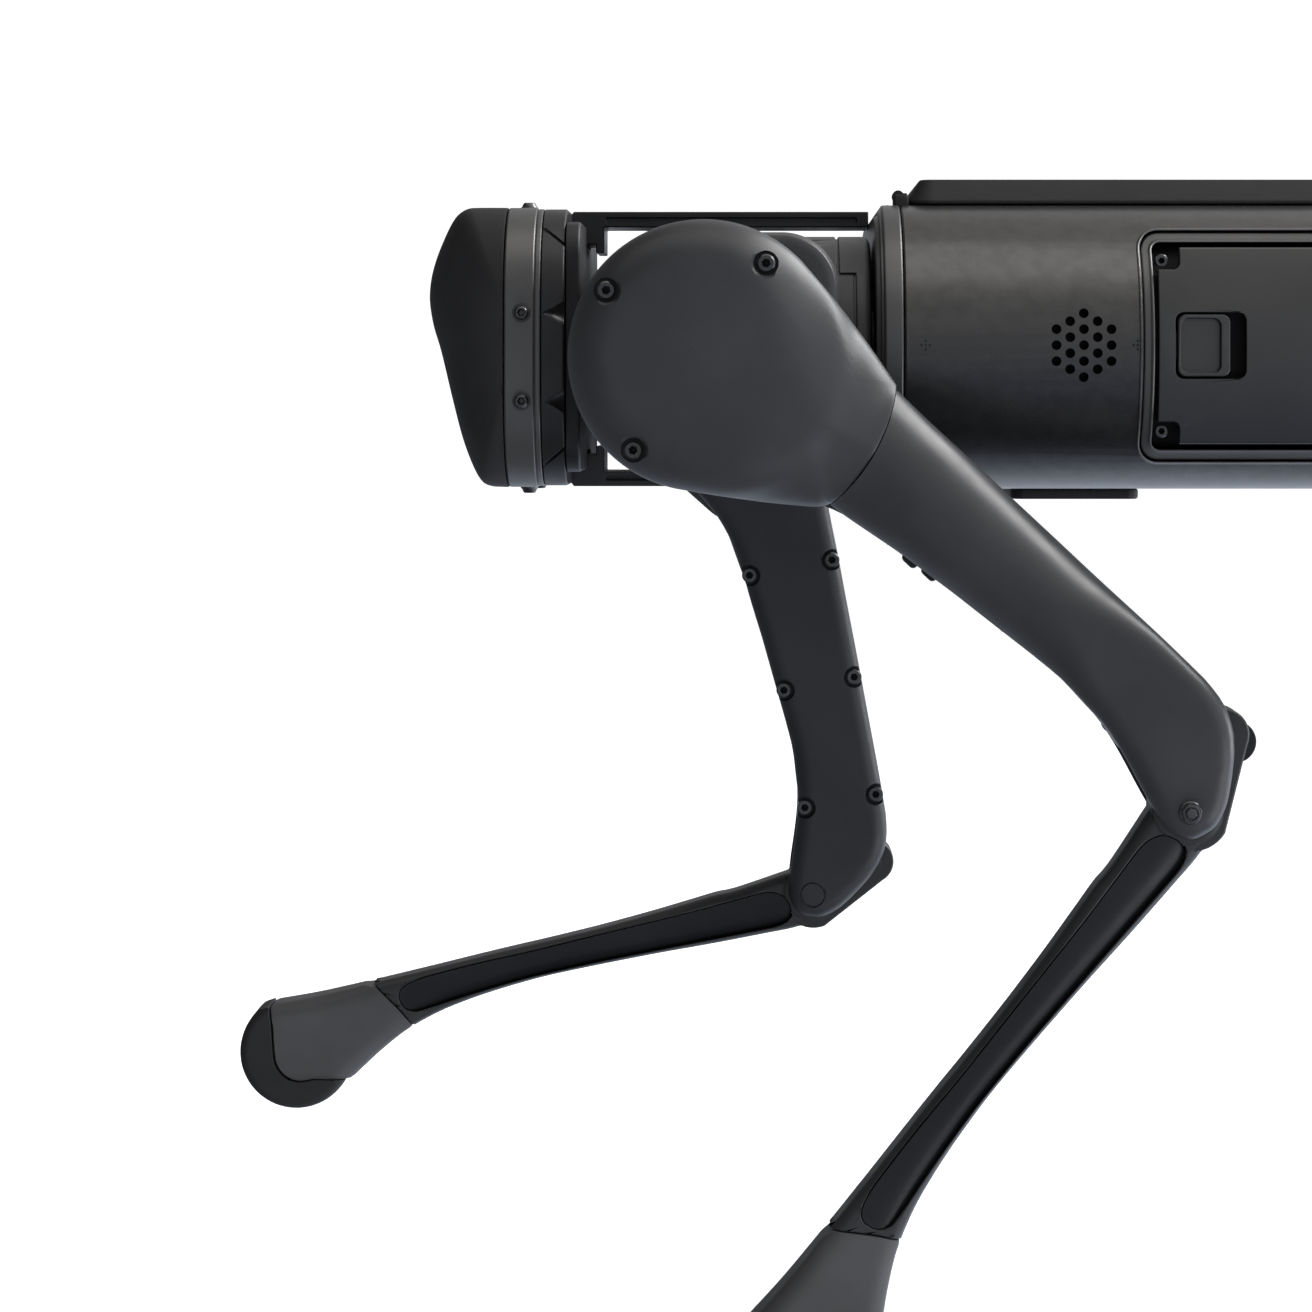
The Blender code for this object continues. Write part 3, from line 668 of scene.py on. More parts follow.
def calf_inlays():
    """The panels that lie in the calf's pockets, level at the front and falling away to the back."""
    shapes = []
    for side in (1, -1):
        rings = []
        for t in range(0, 171, 5):
            front, back = across_at(SHIN_FRONT, t), across_at(SHIN_BACK, t)
            section = [(front, 3.1)]
            for share in (k / 16 for k in range(17)):
                fall = ease((share - 0.3) / 0.66) * 0.94
                section.append((mix(front, back, share), 8.3 - 4.6 * (1 - dome(1 - fall))))
            section.append((back, 3.1))
            rings.append([(n, y * side, -t) for n, y in section])
        shapes.append(common(body(rings), prism("Y", pocket(0.3), *sorted((2 * side, 12 * side)))))
    return gathered(shapes)


def lever_knob():
    """The stop disc beside the lever's inner ear."""
    return prism("Y", circle((-2.8, 25), 6.5, 48), -9.9, -8.3, 0.5)


def boot_top(t, n, sides):
    """Half thickness of the boot: as thin as the calf at the seam, wider over the foot."""
    full = mix(8.6, 11.2, ease((t - 157) / 38))
    wall = mix(4.6, 5.6, ease((t - 157) / 30))
    return wall + (full - wall) * dome(gap_to((t, n), sides[0]) / 6) * dome(gap_to((t, n), sides[1]) / 6)


def ankle_boot():
    """The boot from the ankle seam to the sole, grooved for the sole's tongue."""
    front, back = part_of(SHIN_FRONT, 166.5, 203), part_of(SHIN_BACK, 157.5, 183)
    seam = [(t + 0.5, n) for t, n in curve(ANKLE, 4) if n < across_at(SHIN_FRONT, t)]
    outline = seam + front + SOLE[::-1] + back[::-1]
    centre = Vector((184, 1.5))
    sides = part_of(SHIN_FRONT, 140, 210), part_of(SHIN_BACK, 130, 210)
    shares = [0.02, 0.25, 0.45, 0.6, 0.7, 0.78, 0.84, 0.89, 0.93, 0.96, 0.98, 0.993, 1]
    levels = [[centre.lerp(Vector(point), share) for point in outline] for share in shares]
    rings = [[(p.y, boot_top(p.x, p.y, sides), -p.x) for p in level] for level in levels]
    rings += [[(x, -y, z) for x, y, z in level] for level in reversed(rings)]
    groove = [(t - 3.4, n) for t, n in SOLE] + [(t + 6, n) for t, n in SOLE[::-1]]
    return softened(cut(body(rings), prism("Y", down(groove, 1), -3.3, 3.3)), 0.35, 50)


def foot_sole():
    """The round rubber tread, with rounded shoulders, fine grooves and a tongue into the boot."""
    shoulder = [(17.6, -12.3), (19.3, -11.6), (20.3, -10.6), (20.9, -9), (21, -7.6)]
    groove = [(21, -4.6), (20.5, -4.3), (20.5, -3.9), (21, -3.6)]
    profile = shoulder + groove + [(r, -y) for r, y in reversed(shoulder + groove)]
    tread = turned("Y", KNEE, profile, 96)
    spaces = []
    for rise, low, high in ((0.45, -20, -3), (-2.9, -3.1, 3.1), (0.45, 3, 20)):
        line = [(t + (rise if -8 < n < 13 else 0.45), n) for t, n in SOLE]
        above = [(150, 34), (150, -34), (176, -26)] + line + [(205, 19.1), (212, 19.1), (212, 34)]
        spaces.append(prism("Y", down(above, 1), low, high))
    return softened(cut(tread, *spaces), 0.4, 45, 3)


# ---------------- hip bracket


def hip_bracket():
    """Abduction arm and drum around the thigh motor, with the grooves where its castings part."""
    arm = turned("X", (0, 0), [(37.5, -52.7), (38.9, -51.9), (39.5, -50.5), (39.5, -30), (24, -14)], 96)
    flat = [(min(x, 39.2), z) for x, z in circle((0, 0), 42, 120)]
    drum = prism("Y", flat, -16, 57.5, 1.2)
    corner = arc((-24, 21), 18, 90, 180, 24) + arc((-24, -21), 18, 180, 270, 24)
    shoulder = prism("Y", [(0, 39)] + corner + [(0, -39)], -15.9, 52, 4)
    boss = turned("X", (0, 0), [(20, 30), (19, 39), (17.5, 40.2)], 64)
    stub = cylinder("X", (0, 0), 8, 30, 51)
    shape = join(drum, shoulder, arm, boss, stub)
    seams = []  # two grooves round the arm, and the step between them
    spans = ((-42.45, -41.55, 26.5, 60), (-47.75, -46.85, -60, 26.5), (-47.7, -41.6, 26.1, 26.9))
    for start, end, low, high in spans:
        core = cylinder("X", (0, 0), 38.7, -60, -30, 96)
        band = cut(cylinder("X", (0, 0), 41.5, start, end, 96), core)
        seams.append(common(band, box((-60, -60, low), (-30, 60, high))))
    cavity = cylinder("Y", (0, 0), 38, -10, 70, 96)
    holes = [cylinder("X", (26 * math.cos(a), 26 * math.sin(a)), 2.2, 37, 60, 20)
             for a in (math.radians(d) for d in (45, 135, 225, 315))]
    return softened(cut(shape, cavity, *seams, *holes), 0.35, 40)


# ---------------- trunk


def grille_holes(x, z):
    """Nineteen holes in columns of three, four, five, four and three."""
    holes = []
    for column, count in zip(range(-2, 3), (3, 4, 5, 4, 3)):
        for row in range(count):
            centre = (x + 4.3 * column, z + 5 * (row - (count - 1) / 2))
            holes += [cylinder("Y", centre, 1.55, *span, 20) for span in ((60, 110), (-110, -60))]
    return holes


def grille_backs():
    """The mesh behind each grille, in near-black painted shade for the depth seen through its holes."""
    band = arc((TUBE_SIDE, TUBE_Z), 43.2, -22, 22, 24) + arc((TUBE_SIDE, TUBE_Z), 42.6, 22, -22, 24)
    far = [(-y, z) for y, z in band]
    return gathered([prism("X", outline, 52, 78) for outline in (band, far)])


def cross_marks(x, z):
    spots = ((0, 0), (1.3, 0), (-1.3, 0), (0, 1.3), (0, -1.3))
    return [cylinder("Y", (x + dx, z + dz), 0.45, 95.4, 110, 8) for dx, dz in spots]


def dense(outline, step):
    """The outline with its long sides split."""
    points = []
    for (a, b), (c, d) in zip(outline, outline[1:] + outline[:1]):
        count = max(1, round(math.hypot(c - a, d - b) / step))
        points += [(mix(a, c, i / count), mix(b, d, i / count)) for i in range(count)]
    return points


def bulge(z, radius):
    """How far a round side of this radius, centred at the tube's height, stands out at Z."""
    return math.sqrt(radius**2 - (z - TUBE_Z) ** 2)


def side_frame(half, corner, profile):
    """A frame round the battery on the tube's side; the profile is (margin inwards, height over the side)."""
    outline = dense(rounded_box((PACK[0], TUBE_Z), half, corner, 10), 3)
    rings = [[(x, TUBE_SIDE + bulge(z, TUBE_R + height), z) for x, z in inset(outline, margin)]
             for margin, height in profile]
    return body(rings, tube=True)


def trunk_shell():
    """The extruded tube with its grilles, marks and battery opening."""
    profile = [(2.5, -TUBE_X), (2.5, TUBE_X), (0.5, TUBE_X), (0, TUBE_X - 0.5), (0, 0.5 - TUBE_X),
               (0.5, -TUBE_X)]
    opening = prism("Y", rounded_box((PACK[0], TUBE_Z), (PACK[1] + 0.3, 36.5), 6), 40, 110)
    marks = cross_marks(114.2, 3.6) + cross_marks(47.9, 3.6)
    return cut(stepped("X", stadium, 0, profile, tube=True), opening, *grille_holes(64.6, 3.6), *marks)


def battery_bezel():
    """The raised rim of the opening."""
    profile = [(0, -0.5), (0.05, 0.3), (0.25, 0.65), (0.6, 0.75), (0.85, 0.55), (0.95, 0.1), (0.95, -0.55)]
    return side_frame((PACK[1] + 1.5, 37.6), 7.2, profile)


def latch_bay(low, high):
    """A cutter for the hollow that the latch button slides in."""
    return prism("Y", rounded_box((24.75, TUBE_Z), (11.05, 10.4), 2.6), low, high)


def battery_block():
    """The pack's body inside the trunk, with the space for its latch."""
    outline = [(-30, TUBE_Z - 39)] + arc((TUBE_SIDE, TUBE_Z), 43, -62, 62, 40) + [(-30, TUBE_Z + 39)]
    block = prism("X", outline, PACK[0] - PACK[1] - 5, PACK[0] + PACK[1] + 5)
    side = rounded_box((PACK[0], TUBE_Z), (PACK[1], 36), 6)
    slot = box((26, 87, TUBE_Z - 4.5), (50, 91.5, TUBE_Z + 4.5))
    passage = box((26, 87, TUBE_Z - 4.5), (35.4, 95, TUBE_Z + 4.5))
    return softened(cut(common(block, prism("Y", side, -40, 110)), latch_bay(92.2, 110), slot, passage), 0.3)


def battery_flange():
    """The pack's own rim, with a raised inner lip."""
    profile = [(0, -2.6), (0, -0.45), (0.2, -0.2), (0.5, -0.1), (1.9, -0.1), (2.2, 0.05), (2.4, 0.4),
               (2.75, 0.55), (3.1, 0.4), (3.25, 0), (3.25, -2.6)]
    return side_frame((PACK[1] - 0.1, 36), 6, profile)


def notch_corners():
    return [(PACK[0] + sx * 59.9, TUBE_Z + sz * 26.9) for sx in (1, -1) for sz in (1, -1)]


def battery_panel():
    """The pack's outer face, flatter than the tube and notched at its corners for the screws."""
    radius, crown = 95, 96
    outline = dense(rounded_box((PACK[0], TUBE_Z), (PACK[1] - 4.6, 30.9), 1.6, 4), 3)

    def level(points, rise=0):
        return [(x, crown - radius + rise + bulge(z, radius), z) for x, z in points]

    profile = [(0, -4), (0, -0.55), (0.15, -0.2), (0.5, 0)]
    rings = [level(inset(outline, margin), rise) for margin, rise in profile]
    for share in (0.8, 0.6, 0.4, 0.2, 0.02):
        rings.append(level([(mix(PACK[0], x, share), mix(TUBE_Z, z, share)) for x, z in outline]))
    notches = []
    for x, z in notch_corners():
        centre = (x + math.copysign(2.4, x - PACK[0]), z + math.copysign(4.2, z - TUBE_Z))
        notches.append(prism("Y", rounded_box(centre, (7.4, 7.2), 2.2), 60, 120))
    return softened(cut(body(rings), latch_bay(80, 120), *notches), 0.35, 50)


def battery_screws():
    return gathered([socket_screw((x, z), TUBE_SIDE + bulge(z, 43) + 1.2, 4, 2.1) for x, z in notch_corners()])


def battery_latch():
    """A sliding button with a finger hollow, its stem, and the tongue beside it."""
    outline = rounded_box((26.9, TUBE_Z), (8.3, 9.8), 2.7)
    levels = [(outline, 92.5), (outline, 95.3), (inset(outline, 0.2), 95.8), (inset(outline, 0.5), 96)]
    stem = box((31, 87.4, TUBE_Z - 4), (35, 93.2, TUBE_Z + 4))
    tongue = box((31, 87.4, TUBE_Z - 4), (45.5, 91.1, TUBE_Z + 4))
    hollow = prism("Y", rounded_box((27.9, TUBE_Z), (6.3, 8.5), 2.4), 93.2, 100)
    return softened(cut(join(stack("Y", levels), stem, tongue), hollow), 0.35)


DECK_SCREWS = [(x, y) for x in (-90, 0, 90) for y in (-22, 22)]


def top_deck():
    """The payload deck with its side bevels, panel lines, rail grooves, screw wells and vents."""
    base = rounded_box((0, 0), (118.6, 55), 9)
    profile = [(0, 0.3), (0, 1.3), (0.3, 1.8), (4.6, 8.2), (5.1, 8.5)]
    plate = stepped("Z", lambda margin: inset(base, margin), TOP, profile)
    grooves = [prism("Z", rounded_box((0, y), (104, 2.2), 2, 6), TOP + 6, 90) for y in (-38, 38)]
    outside = rounded_box((0, 0), (98, 30), 6)
    inside = inset(outside, 0.8)
    line = stack("Z", [(inside, TOP + 7.8), (inside, 90), (outside, 90), (outside, TOP + 7.8)], tube=True)
    wells = [cylinder("Z", place, 3.2, TOP + 5.5, 90) for place in DECK_SCREWS]
    vents = [prism("Z", rounded_box((x, 0), (1.6, 15), 1.5, 6), TOP + 5.5, 90) for x in range(-24, 25, 8)]
    return softened(cut(plate, *grooves, line, *wells, *vents), 0.4)


def deck_screws():
    return button_screws([((x, y, TOP + 5.9), 0) for x, y in DECK_SCREWS], 2.6, 1.6)


def deck_clip():
    """The small latch at the deck's front corner, on each side."""
    shapes = []
    for side in (-1, 1):
        foot = rounded_box((120, side * 49), (2.6, 4), 1, 4)
        shapes.append(stack("Z", [(foot, TOP - 1), (foot, TOP + 2.4), (inset(foot, 0.8), TOP + 4)]))
        shapes.append(cylinder("Y", (121, TOP + 3), 1.9, side * 49 - 3.4, side * 49 + 3.4))
    return softened(gathered(shapes), 0.25)


def belly_pad():
    return prism("Z", rounded_box((62.5, 0), (21, 40), 4), BOTTOM - 3.7, BOTTOM - 0.3, 0.8)


def bulkhead():
    """The end ring of the tube with its step and its inset plate."""
    profile = [(0.5, 0), (0, 0.5), (0, 5.6), (0.4, 6), (1.6, 6.1), (1.6, 6.9), (3.4, 7), (4, 8.4)]
    holes = [cylinder("X", (side * HIP_Y, 0), 17, 110, 140, 48) for side in (-1, 1)]
    holes += [cylinder("X", (y, z), 2, 127.5, 140, 16) for y in (-20, 20) for z in (-32, 34)]
    return softened(cut(stepped("X", stadium, TUBE_X + 0.3, profile), *holes), 0.3)


def rail(inner, outer, foot):
    """A grooved flat bar to the nose frame; its end block reaches to `foot`, and its lip to the casting."""
    start, end = TUBE_X + 9, HIP_X + 40.2
    side = math.copysign(1, inner)
    outline = [(start, inner), (end - 5.4, inner), (end - 5.4, foot), (end - 2.6, foot),
               (end - 2.6, foot + side * 2.8), (end + 7, foot + side * 2.8), (end + 7, outer - side * 3),
               (end + 4.8, outer), (start, outer)]
    bar = prism("Y", outline, -15, 15, 0.4)
    low, high = sorted((inner + side * 1.3, outer - side * 2))
    grooves = [box((start + 4, y - 1.6, low), (end - 6, y + 1.6, high)) for y in (-15, 15)]
    well = rounded_box((162, 0), (24, 9), 4, 6)
    grooves.append(prism("Z", well, *sorted((outer - side * 1.2, outer + side * 20))))
    return softened(cut(bar, *grooves), 0.25)


SIDE_SCREWS = (-14, 14.2)  # heights of the screws in the nose's sides


def nose_outline(margin=0):
    return inset(rounded_box((0, TUBE_Z), NOSE_HALF, NOSE_CORNER, 16), margin)


def stub_holes():
    """Cutters for the hip brackets' stubs."""
    return [cylinder("X", (side * HIP_Y, 0), 8.4, 200, 260) for side in (-1, 1)]


def rail_notch(side):
    """A cutter for the ends of the upper rail, or for -1 the lower."""
    middle = TUBE_Z + side * 42
    return box((NOSE_X - 1, -15.4, middle - 8), (NOSE_X + 7.4, 15.4, middle + 8))


def nose_plate():
    """The black plate that the hip brackets' stubs turn in."""
    outline = rounded_box((0, TUBE_Z), (68.3, 40.4), 11, 3)
    plate = stack("X", [(inset(outline, 0.6), NOSE_X), (outline, NOSE_X + 0.6), (outline, NOSE_X + 4.6)])
    return softened(cut(plate, *stub_holes(), rail_notch(-1), rail_notch(1)), 0.3)


def nose_frame():
    """The webbed casting that joins the plate to the nose ring, with the black plate's openings."""
    cuts = stub_holes()
    cuts.append(prism("X", rounded_box((0, TUBE_Z), (24, 30), 8), NOSE_X + 4, 260))
    flare = [(4.2, NOSE_X + 4), (3.4, NOSE_X + 5.6), (1.6, NOSE_X + 8.4), (0.5, NOSE_X + 11.4)]
    for side in (-1, 1):
        for y in (-28, 0, 28):
            window = rounded_box((NOSE_X + 8.8, y), (2.3, 10), 1.5, 5)
            cuts.append(prism("Z", window, *sorted((TUBE_Z + side * 43.4, TUBE_Z + side * 90))))
        cuts.append(rail_notch(side))
        cuts += [turned("X", (side * 73.4, z), flare, 32) for z in SIDE_SCREWS[::-1]]
    for upper in (1, -1):
        for side in (1, -1):  # the thin gusset line in each corner
            line = [(NOSE_X - 1, TUBE_Z + upper * 28.4), (NOSE_X + 11.8, TUBE_Z + upper * 38.6),
                    (NOSE_X + 11.8, TUBE_Z + upper * 37.6), (NOSE_X - 1, TUBE_Z + upper * 27.4)]
            cuts.append(prism("Y", line, *sorted((side * 62, side * 90))))
    casting = stepped("X", nose_outline, NOSE_X, [(0.9, 4.9), (0.5, 5.3), (0.5, 12.2)])
    return softened(cut(casting, *cuts), 0.25)


def head_ring():
    """The band round the nose, with its thin step at the back."""
    profile = [(4, 0), (4, 11.6), (0.5, 11.6), (0, 11.1), (0, 2.4), (0.3, 2.1), (0.9, 2), (0.9, 1.7),
               (0.4, 1.6), (0.4, 0.3), (0.7, 0)]
    return softened(stepped("X", nose_outline, RING_X, profile, tube=True), 0.2)


def face(height, depth):
    """X of the sloping lower face of the head, `depth` under its surface."""
    return 274.4 - (17 - height) * 0.247 - depth


def face_slab(low, high, near, far, half_width, edge=0):
    outline = [(face(low, near), low), (face(high, near), high), (face(high, far), high), (face(low, far), low)]
    return prism("Y", outline, -half_width, half_width, edge)


def roundness(across, flat, radius):
    """The share of full size at a width: 1 over the flat middle, then falling as a quarter round."""
    return dome(1 - (abs(across) - flat) / radius)


def head_shell():
    """The nose: one side profile, drawn in toward its ends by a rounded front outline."""
    start = HIP_X + 64.9
    side = curve(
        [(start, -42.1), (249.5, -42.1), (253.5, -41.8), (256.6, -40.2), (259.5, -35.3), (262.9, -26.3),
         (266.2, -13.8), (270, 2), (272.4, 10), (273.6, 16.5), (273.8, 21.3), (273.1, 26.9), (271.5, 32.6),
         (269.2, 38.4), (266.6, 43.8), (264.2, 47), (261, 48.8), (257, 49.1), (start, 49.1)], 6)
    width, height = NOSE_HALF
    rings = []
    for i in range(49):
        across = -width * math.cos(math.pi * i / 48)
        corner = NOSE_CORNER * (1 - roundness(across, width - NOSE_CORNER, NOSE_CORNER))
        depth = max(0.04, mix(0.03, 1, roundness(across, 40.5, 33)))
        rings.append([(start + (x - start) * depth, across, TUBE_Z + (z - TUBE_Z) * (1 - corner / height))
                      for x, z in side])
    hollow = prism("X", nose_outline(6), 240, 252)
    recess = face_slab(-12, 11, -3, 3.2, 36)
    return softened(cut(body(rings), hollow, recess), 0.3)


LENSES = ((-25, 0), (25, 0))


def camera_window():
    """The glass strip in the face, with two lens wells."""
    wells = [cylinder("X", lens, 5.5, 268.4, 290, 48) for lens in LENSES]
    return softened(cut(face_slab(-11.7, 10.7, 0.3, 2.8, 35.7, 0.3), *wells), 0.25)


def lens_parts():
    """Two lenses and their hoods in the window."""
    profile = [(5.2, 266.6), (5.2, 268.6), (4.4, 268.8), (4, 268), (2.6, 268.4), (0.4, 268.6)]
    return gathered([turned("X", lens, profile, 40) for lens in LENSES])


def tail_cover():
    """The rounded cover behind the tail casting, drawn facing forward, with its vents."""
    profile = [(0, 0), (0, 14), (0.6, 17), (2.6, 20.4), (6, 23.4), (10.6, 25)]
    hollow = prism("X", nose_outline(5), RING_X - 5, RING_X + 12)
    vents = [prism("X", rounded_box((0, z), (26, 1.4), 1.3, 6), RING_X + 22, 280) for z in range(-16, 20, 7)]
    return softened(cut(stepped("X", nose_outline, RING_X, profile), hollow, *vents), 0.35)


def ring_screws():
    """Button-head screws round the nose ring: two on each side, two on the top and two on the bottom."""
    x = RING_X + 5.9
    places = [((x, side * 73.4, z), -90 * side) for side in (-1, 1) for z in SIDE_SCREWS]
    places += [((x, y, z), turn) for y in (-30, 30) for z, turn in ((49, 0), (-42, 180))]
    return button_screws(places, 2.9, 2)


# ---------------- assembly

# Rows hold a name, maker, body, finish, slot and kind. A "whole" piece stands for the CAD node with its slot's
# name, an "extra" adds detail to that node, and a "left" piece is an extra on the left legs only. Each leg adds
# its own name to its pieces, bodies and nodes.
TRUNK_PIECES = (
    ("tube", trunk_shell, "trunk", "tube", "trunk_shell", "whole"),
    # The grille mesh wears the near-black finish as painted shade behind the holes.
    ("grille_mesh", grille_backs, "trunk", "shadow", "trunk_shell", "extra"),
    ("battery_rim", battery_bezel, "trunk", "band", "trunk_shell", "extra"),
    ("deck", top_deck, "trunk", "deck", "top_deck", "whole"),
    ("deck_bolts", deck_screws, "trunk", "screw", "top_deck", "extra"),
    ("deck_clips", deck_clip, "trunk", "black", "top_deck", "extra"),
    ("belly_rest", belly_pad, "trunk", "black", "belly_pad", "whole"),
    ("head_band", head_ring, "trunk", "band", "head_ring", "whole"),
    ("head_nose", head_shell, "trunk", "head", "head_shell", "whole"),
    ("head_window", camera_window, "trunk", "glass", "camera_window", "whole"),
    ("head_lenses", lens_parts, "trunk", "screw", "camera_window", "extra"),
    ("head_bolts", ring_screws, "trunk", "screw", "head_ring", "extra"),
    # The battery body's near-black finish is painted shade for the deep corner notches round the panel.
    ("battery_body", battery_block, "battery", "shadow", "battery_pack", "whole"),
    ("battery_flange", battery_flange, "battery", "band", "battery_pack", "extra"),
    ("battery_panel", battery_panel, "battery", "panel", "battery_pack", "extra"),
    ("battery_bolts", battery_screws, "battery", "screw", "battery_pack", "extra"),
    ("battery_button", battery_latch, "latch", "panel", "battery_latch", "whole"),
)
LEG_PIECES = (
    ("bracket", hip_bracket, "hip", "bracket", "hip_bracket", "whole"),
    ("thigh_casting", thigh_shell, "thigh", "cover", "thigh_shell", "whole"),
    ("thigh_lining", thigh_inner, "thigh", "cover_inside", "thigh_inner", "whole"),
    ("thigh_dome", thigh_cap, "thigh", "cover", "thigh_cap", "whole"),
    ("thigh_bolts", thigh_screws, "thigh", "screw", "thigh_cap", "extra"),
    ("thigh_stops", thigh_stops, "thigh", "pocket", "thigh_inner", "left"),
    ("shank", calf, "calf", "arm", "calf", "whole"),
    ("shank_inlays", calf_inlays, "calf", "pocket", "calf", "extra"),
    ("lever_knob", lever_knob, "calf", "pocket", "calf", "left"),
    ("boot", ankle_boot, "calf", "boot", "ankle_boot", "whole"),
    ("tread", foot_sole, "calf", "sole", "foot_sole", "whole"),
)
# Pieces of the trunk's ends: a name, maker, finish, slot, CAD node, and the ends with their facing along X.
BOTH = {"front": 1, "rear": -1}
END_PIECES = (
    ("{}_bulkhead_ring", bulkhead, "band", "bulkhead", "{}_bulkhead", BOTH),
    ("{}_upper_rail", lambda: rail(44, 49.2, 35.4), "rail", "rail", "{}_top_rail", BOTH),
    ("{}_lower_rail", lambda: rail(-37.6, -42.6, -29.2), "rail", "rail", "{}_bottom_rail", BOTH),
    ("{}_casting", nose_frame, "casting", "mount", "{}_mount", {"head": 1, "tail": -1}),
    ("{}_plate", nose_plate, "black", "mount", None, {"head": 1, "tail": -1}),
    ("{}_shell", tail_cover, "head", "tail_cover", "{}_cover", {"tail": -1}),
)


def build_trunk():
    """Every piece that rides on the trunk, the battery or the latch."""
    trunk = Matrix.Translation((JOINTS["front_left_abduction"] + JOINTS["rear_right_abduction"]) / 2)
    for name, maker, rider, finish, slot, kind in TRUNK_PIECES:
        show(name, moved(take_mesh(maker()), trunk), rider, finish, [slot] if kind == "whole" else [], slot)
    for name, maker, finish, slot, node, ends in END_PIECES:
        mesh = take_mesh(maker())
        for end, facing in ends.items():
            place = trunk @ Matrix.Scale(facing, 4, (1, 0, 0))
            nodes = [node.format(end)] if node else []
            show(name.format(end), moved(mesh, place), "trunk", finish, nodes, slot)


def leg_frames(leg, side, ahead):
    """The rest matrices of a leg's hip, thigh and calf, from its joints; each mirrors the left front shapes."""
    hip, thigh, knee = (JOINTS[f"{leg}_{joint}"] for joint in ("abduction", "thigh_swing", "knee"))
    lever = JOINTS[f"{leg}_rod_turn"] - thigh
    chord = knee - thigh
    pitch = math.atan2(-chord.x, -chord.z)
    bend = math.atan2(lever.x, lever.z) - math.atan2(LEVER[0], LEVER[1])
    flip = Matrix.Scale(side, 4, (0, 1, 0))
    turned_round = Matrix.Scale(ahead, 4, (1, 0, 0))
    return {
        "hip": Matrix.Translation(hip) @ turned_round @ flip,
        "thigh": Matrix.Translation(thigh) @ Matrix.Rotation(pitch, 4, "Y") @ flip,
        "calf": Matrix.Translation(knee) @ Matrix.Rotation(bend, 4, "Y") @ flip,
    }


def build_legs():
    """The pieces of all four legs, from one set of meshes."""
    meshes = {name: take_mesh(maker()) for name, maker, *_ in LEG_PIECES}
    for leg in ("front_left", "front_right", "rear_left", "rear_right"):
        side = 1 if leg.endswith("left") else -1
        frames = leg_frames(leg, side, 1 if leg.startswith("front") else -1)
        for name, _, part, finish, slot, kind in LEG_PIECES:
            if kind != "left" or side > 0:
                nodes = [f"{leg}_{slot}"] if kind == "whole" else []
                show(f"{leg}_{name}", moved(meshes[name], frames[part]), f"{part}_{leg}", finish, nodes, slot)


CARRIED = {"thigh_motor": "motor", "hip_motors": "motor", "knee_crank": "steel", "knee_rod": "steel",
           "control_board": "board"}


def dress_carried_nodes():
    """Materials for the inner parts whose CAD shape stays."""
    for name, node in frame["nodes"].items():
        for part, finish in CARRIED.items():
            if name.endswith(part):
                node.data.materials.clear()
                node.data.materials.append(SKINS[finish])


# ---------------- stage


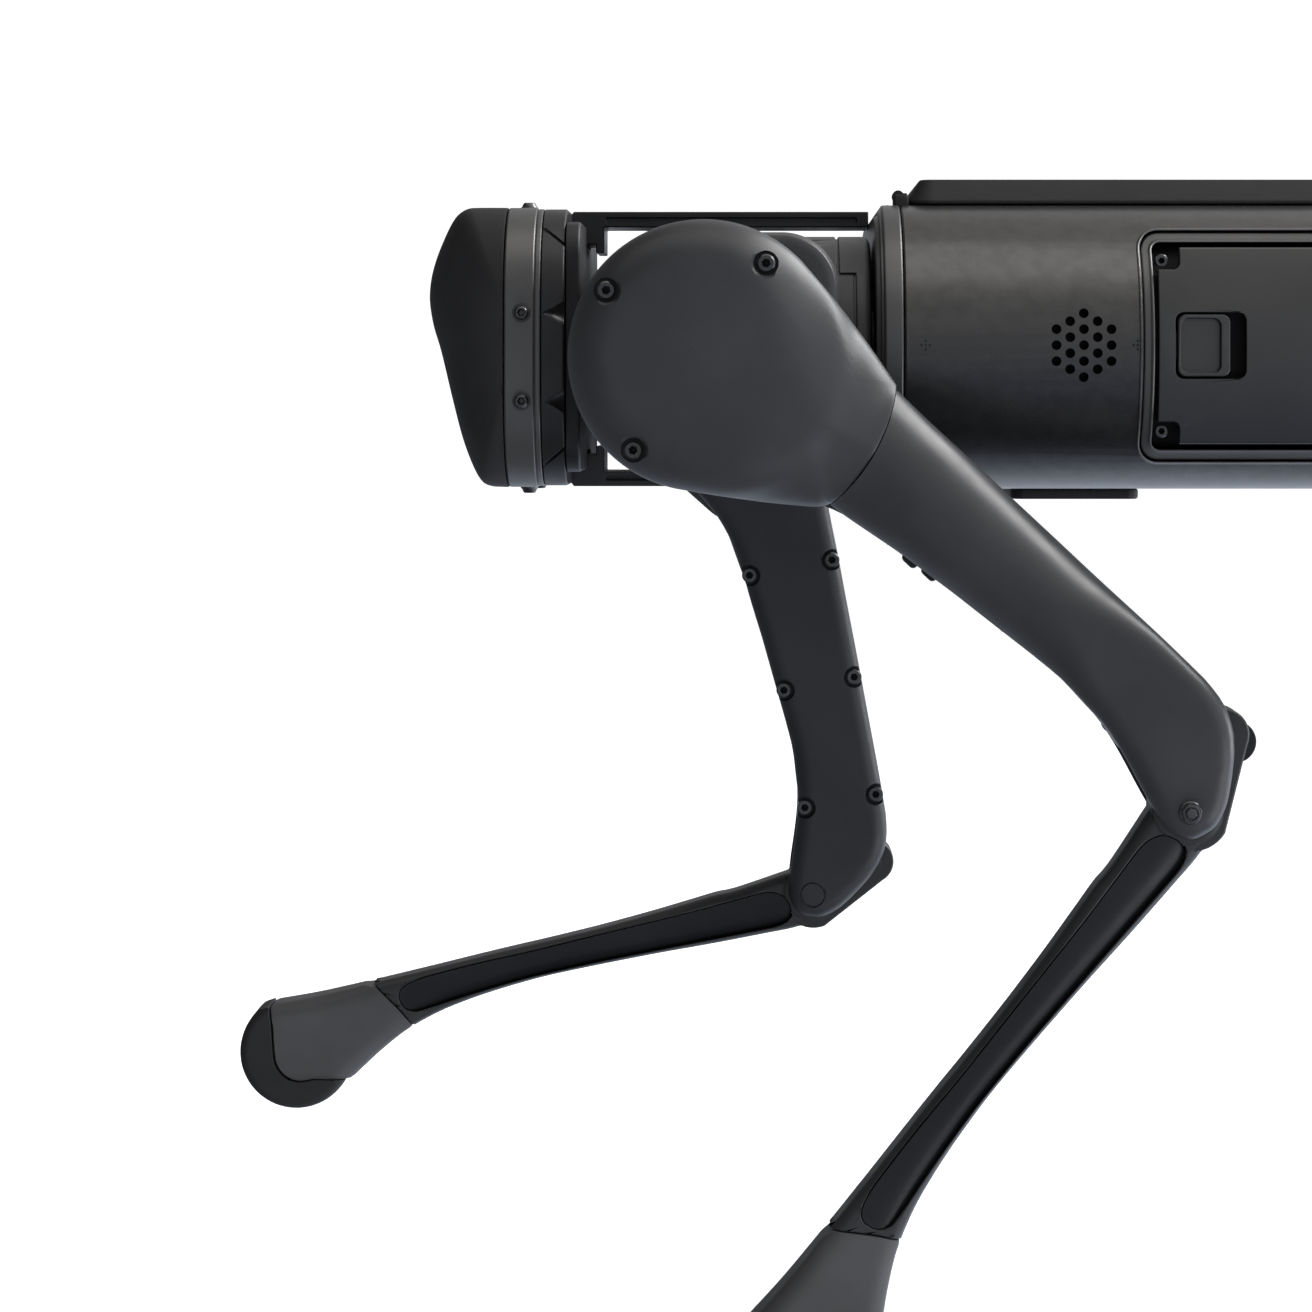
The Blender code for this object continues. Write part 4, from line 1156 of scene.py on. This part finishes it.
def build_floor():
    """A white floor that only the camera sees, so that light and reflections come from below too."""
    floor = cylinder("Z", (0, 0), 9000, -20, 0, 64)
    floor.name = "floor"
    paper = bpy.data.materials.new("floor_paper")
    paper.use_nodes = True
    shader = paper.node_tree.nodes["Principled BSDF"].inputs
    shader["Base Color"].default_value = (0.94, 0.94, 0.94, 1)
    shader["Roughness"].default_value = 0.9
    shader["Emission Color"].default_value = (1, 1, 1, 1)
    shader["Emission Strength"].default_value = 0.55
    floor.data.materials.append(paper)
    floor.visible_glossy = False
    floor.visible_diffuse = False
    floor.visible_shadow = False
    floor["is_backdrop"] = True


def build_world():
    """A soft studio: white to the camera, and for the light bright above and behind and dark in front."""
    world = bpy.data.worlds.new("studio")
    bpy.context.scene.world = world
    world.use_nodes = True
    tree = world.node_tree
    split = tree.nodes.new("ShaderNodeSeparateXYZ")
    tree.links.new(tree.nodes.new("ShaderNodeTexCoord").outputs["Generated"], split.inputs[0])
    height = remap(tree, split.outputs["Z"], (-1, 1))

    def ramp(*stops):
        """A colour for each height, from -1 straight down to 1 straight up."""
        node = tree.nodes.new("ShaderNodeValToRGB")
        tree.links.new(height, node.inputs["Fac"])
        band = node.color_ramp
        band.interpolation = "EASE"
        while len(band.elements) < len(stops):
            band.elements.new(0.5)
        for element, (level, colour) in zip(band.elements, stops):
            element.position = (level + 1) / 2
            element.color = (*colour, 1)
        return node.outputs["Color"]

    front = ramp((-1, (0.03, 0.03, 0.035)), (-0.88, (0.016, 0.018, 0.026)), (-0.55, (0.20, 0.22, 0.29)),
                 (0, (0.42, 0.44, 0.48)), (0.5, (0.52, 0.52, 0.52)), (0.9, (0.80, 0.79, 0.78)))
    behind = ramp((-1, (0.10, 0.11, 0.14)), (-0.95, (0.40, 0.45, 0.56)), (-0.8, (0.82, 0.93, 1.10)),
                  (-0.3, (0.80, 0.88, 1.02)), (0.3, (0.55, 0.56, 0.58)), (0.95, (0.70, 0.69, 0.68)))
    around = blend(tree, remap(tree, split.outputs["Y"], (-0.25, 0.15)), behind, front)
    leaned = tree.nodes.new("ShaderNodeVectorMath")
    leaned.operation = "SCALE"
    tree.links.new(around, leaned.inputs[0])
    tree.links.new(remap(tree, split.outputs["X"], (-0.75, 0.45), (1.7, 0.2)), leaned.inputs["Scale"])
    seen = tree.nodes.new("ShaderNodeLightPath").outputs["Is Camera Ray"]
    final = blend(tree, seen, leaned.outputs["Vector"], (1.1, 1.1, 1.1))
    tree.links.new(final, tree.nodes["Background"].inputs["Color"])


# Name, place, target, width and height, power, colour, and whether the lamp shows in gloss.
LAMPS = (
    ("key_softbox", (-1.15, -0.32, 1.45), (0.05, 0.1, 0.28), (1.3, 0.9), 30, (1, 1, 1), True),
    ("top_softbox", (0.2, 0.5, 1.8), (0.1, 0, 0.3), (2.4, 1), 4, (1, 0.98, 0.95), True),
    ("rim_softbox", (-1.6, -0.35, 0.45), (0, 0.1, 0.25), (0.5, 0.9), 9, (1, 1, 1), True),
    ("fill_softbox", (-1.7, 1.2, -0.6), (0.05, 0.1, 0.2), (1.6, 1.2), 10, (0.97, 0.98, 1), True),
    ("floor_bounce", (0.2, 1.1, -1), (0.1, 0.1, 0.3), (2.6, 1.8), 27, (0.96, 0.98, 1), False),
)


def build_lamps():
    """The soft lamps, in metres and watts, unseen by the camera."""
    for name, place, target, size, power, colour, mirrored in LAMPS:
        light = bpy.data.lights.new(name, "AREA")
        light.shape = "RECTANGLE"
        light.size, light.size_y = size
        light.energy = power
        light.color = colour
        lamp = placed(name, light)
        lamp.location = place
        lamp.rotation_euler = (Vector(target) - Vector(place)).to_track_quat("-Z", "Y").to_euler()
        lamp.visible_camera = False
        lamp.visible_glossy = mirrored


FOCAL = 3762 / 1312  # the focal length over the picture's width


def build_camera():
    """Square on to the left side, shifted so that the head and front legs fill the view."""
    lens = bpy.data.cameras.new("camera")
    lens.sensor_width = 36
    lens.lens = FOCAL * 36
    lens.shift_x, lens.shift_y = -0.0732, -0.2027  # in picture widths
    camera = placed("camera", lens)
    camera.location = (0.1682, 1.273, 0.3113)
    camera.rotation_euler = (math.radians(90), 0, math.radians(180))
    bpy.context.scene.camera = camera


def main():
    bpy.context.scene.view_settings.view_transform = "Standard"
    build_camera()
    build_trunk()
    build_legs()
    dress_carried_nodes()
    build_floor()
    build_world()
    build_lamps()
    boxes = {"cad": CAD_BOX, "visual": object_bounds()}
    {name: [list(corner) for corner in corners] for name, corners in boxes.items()}


main()
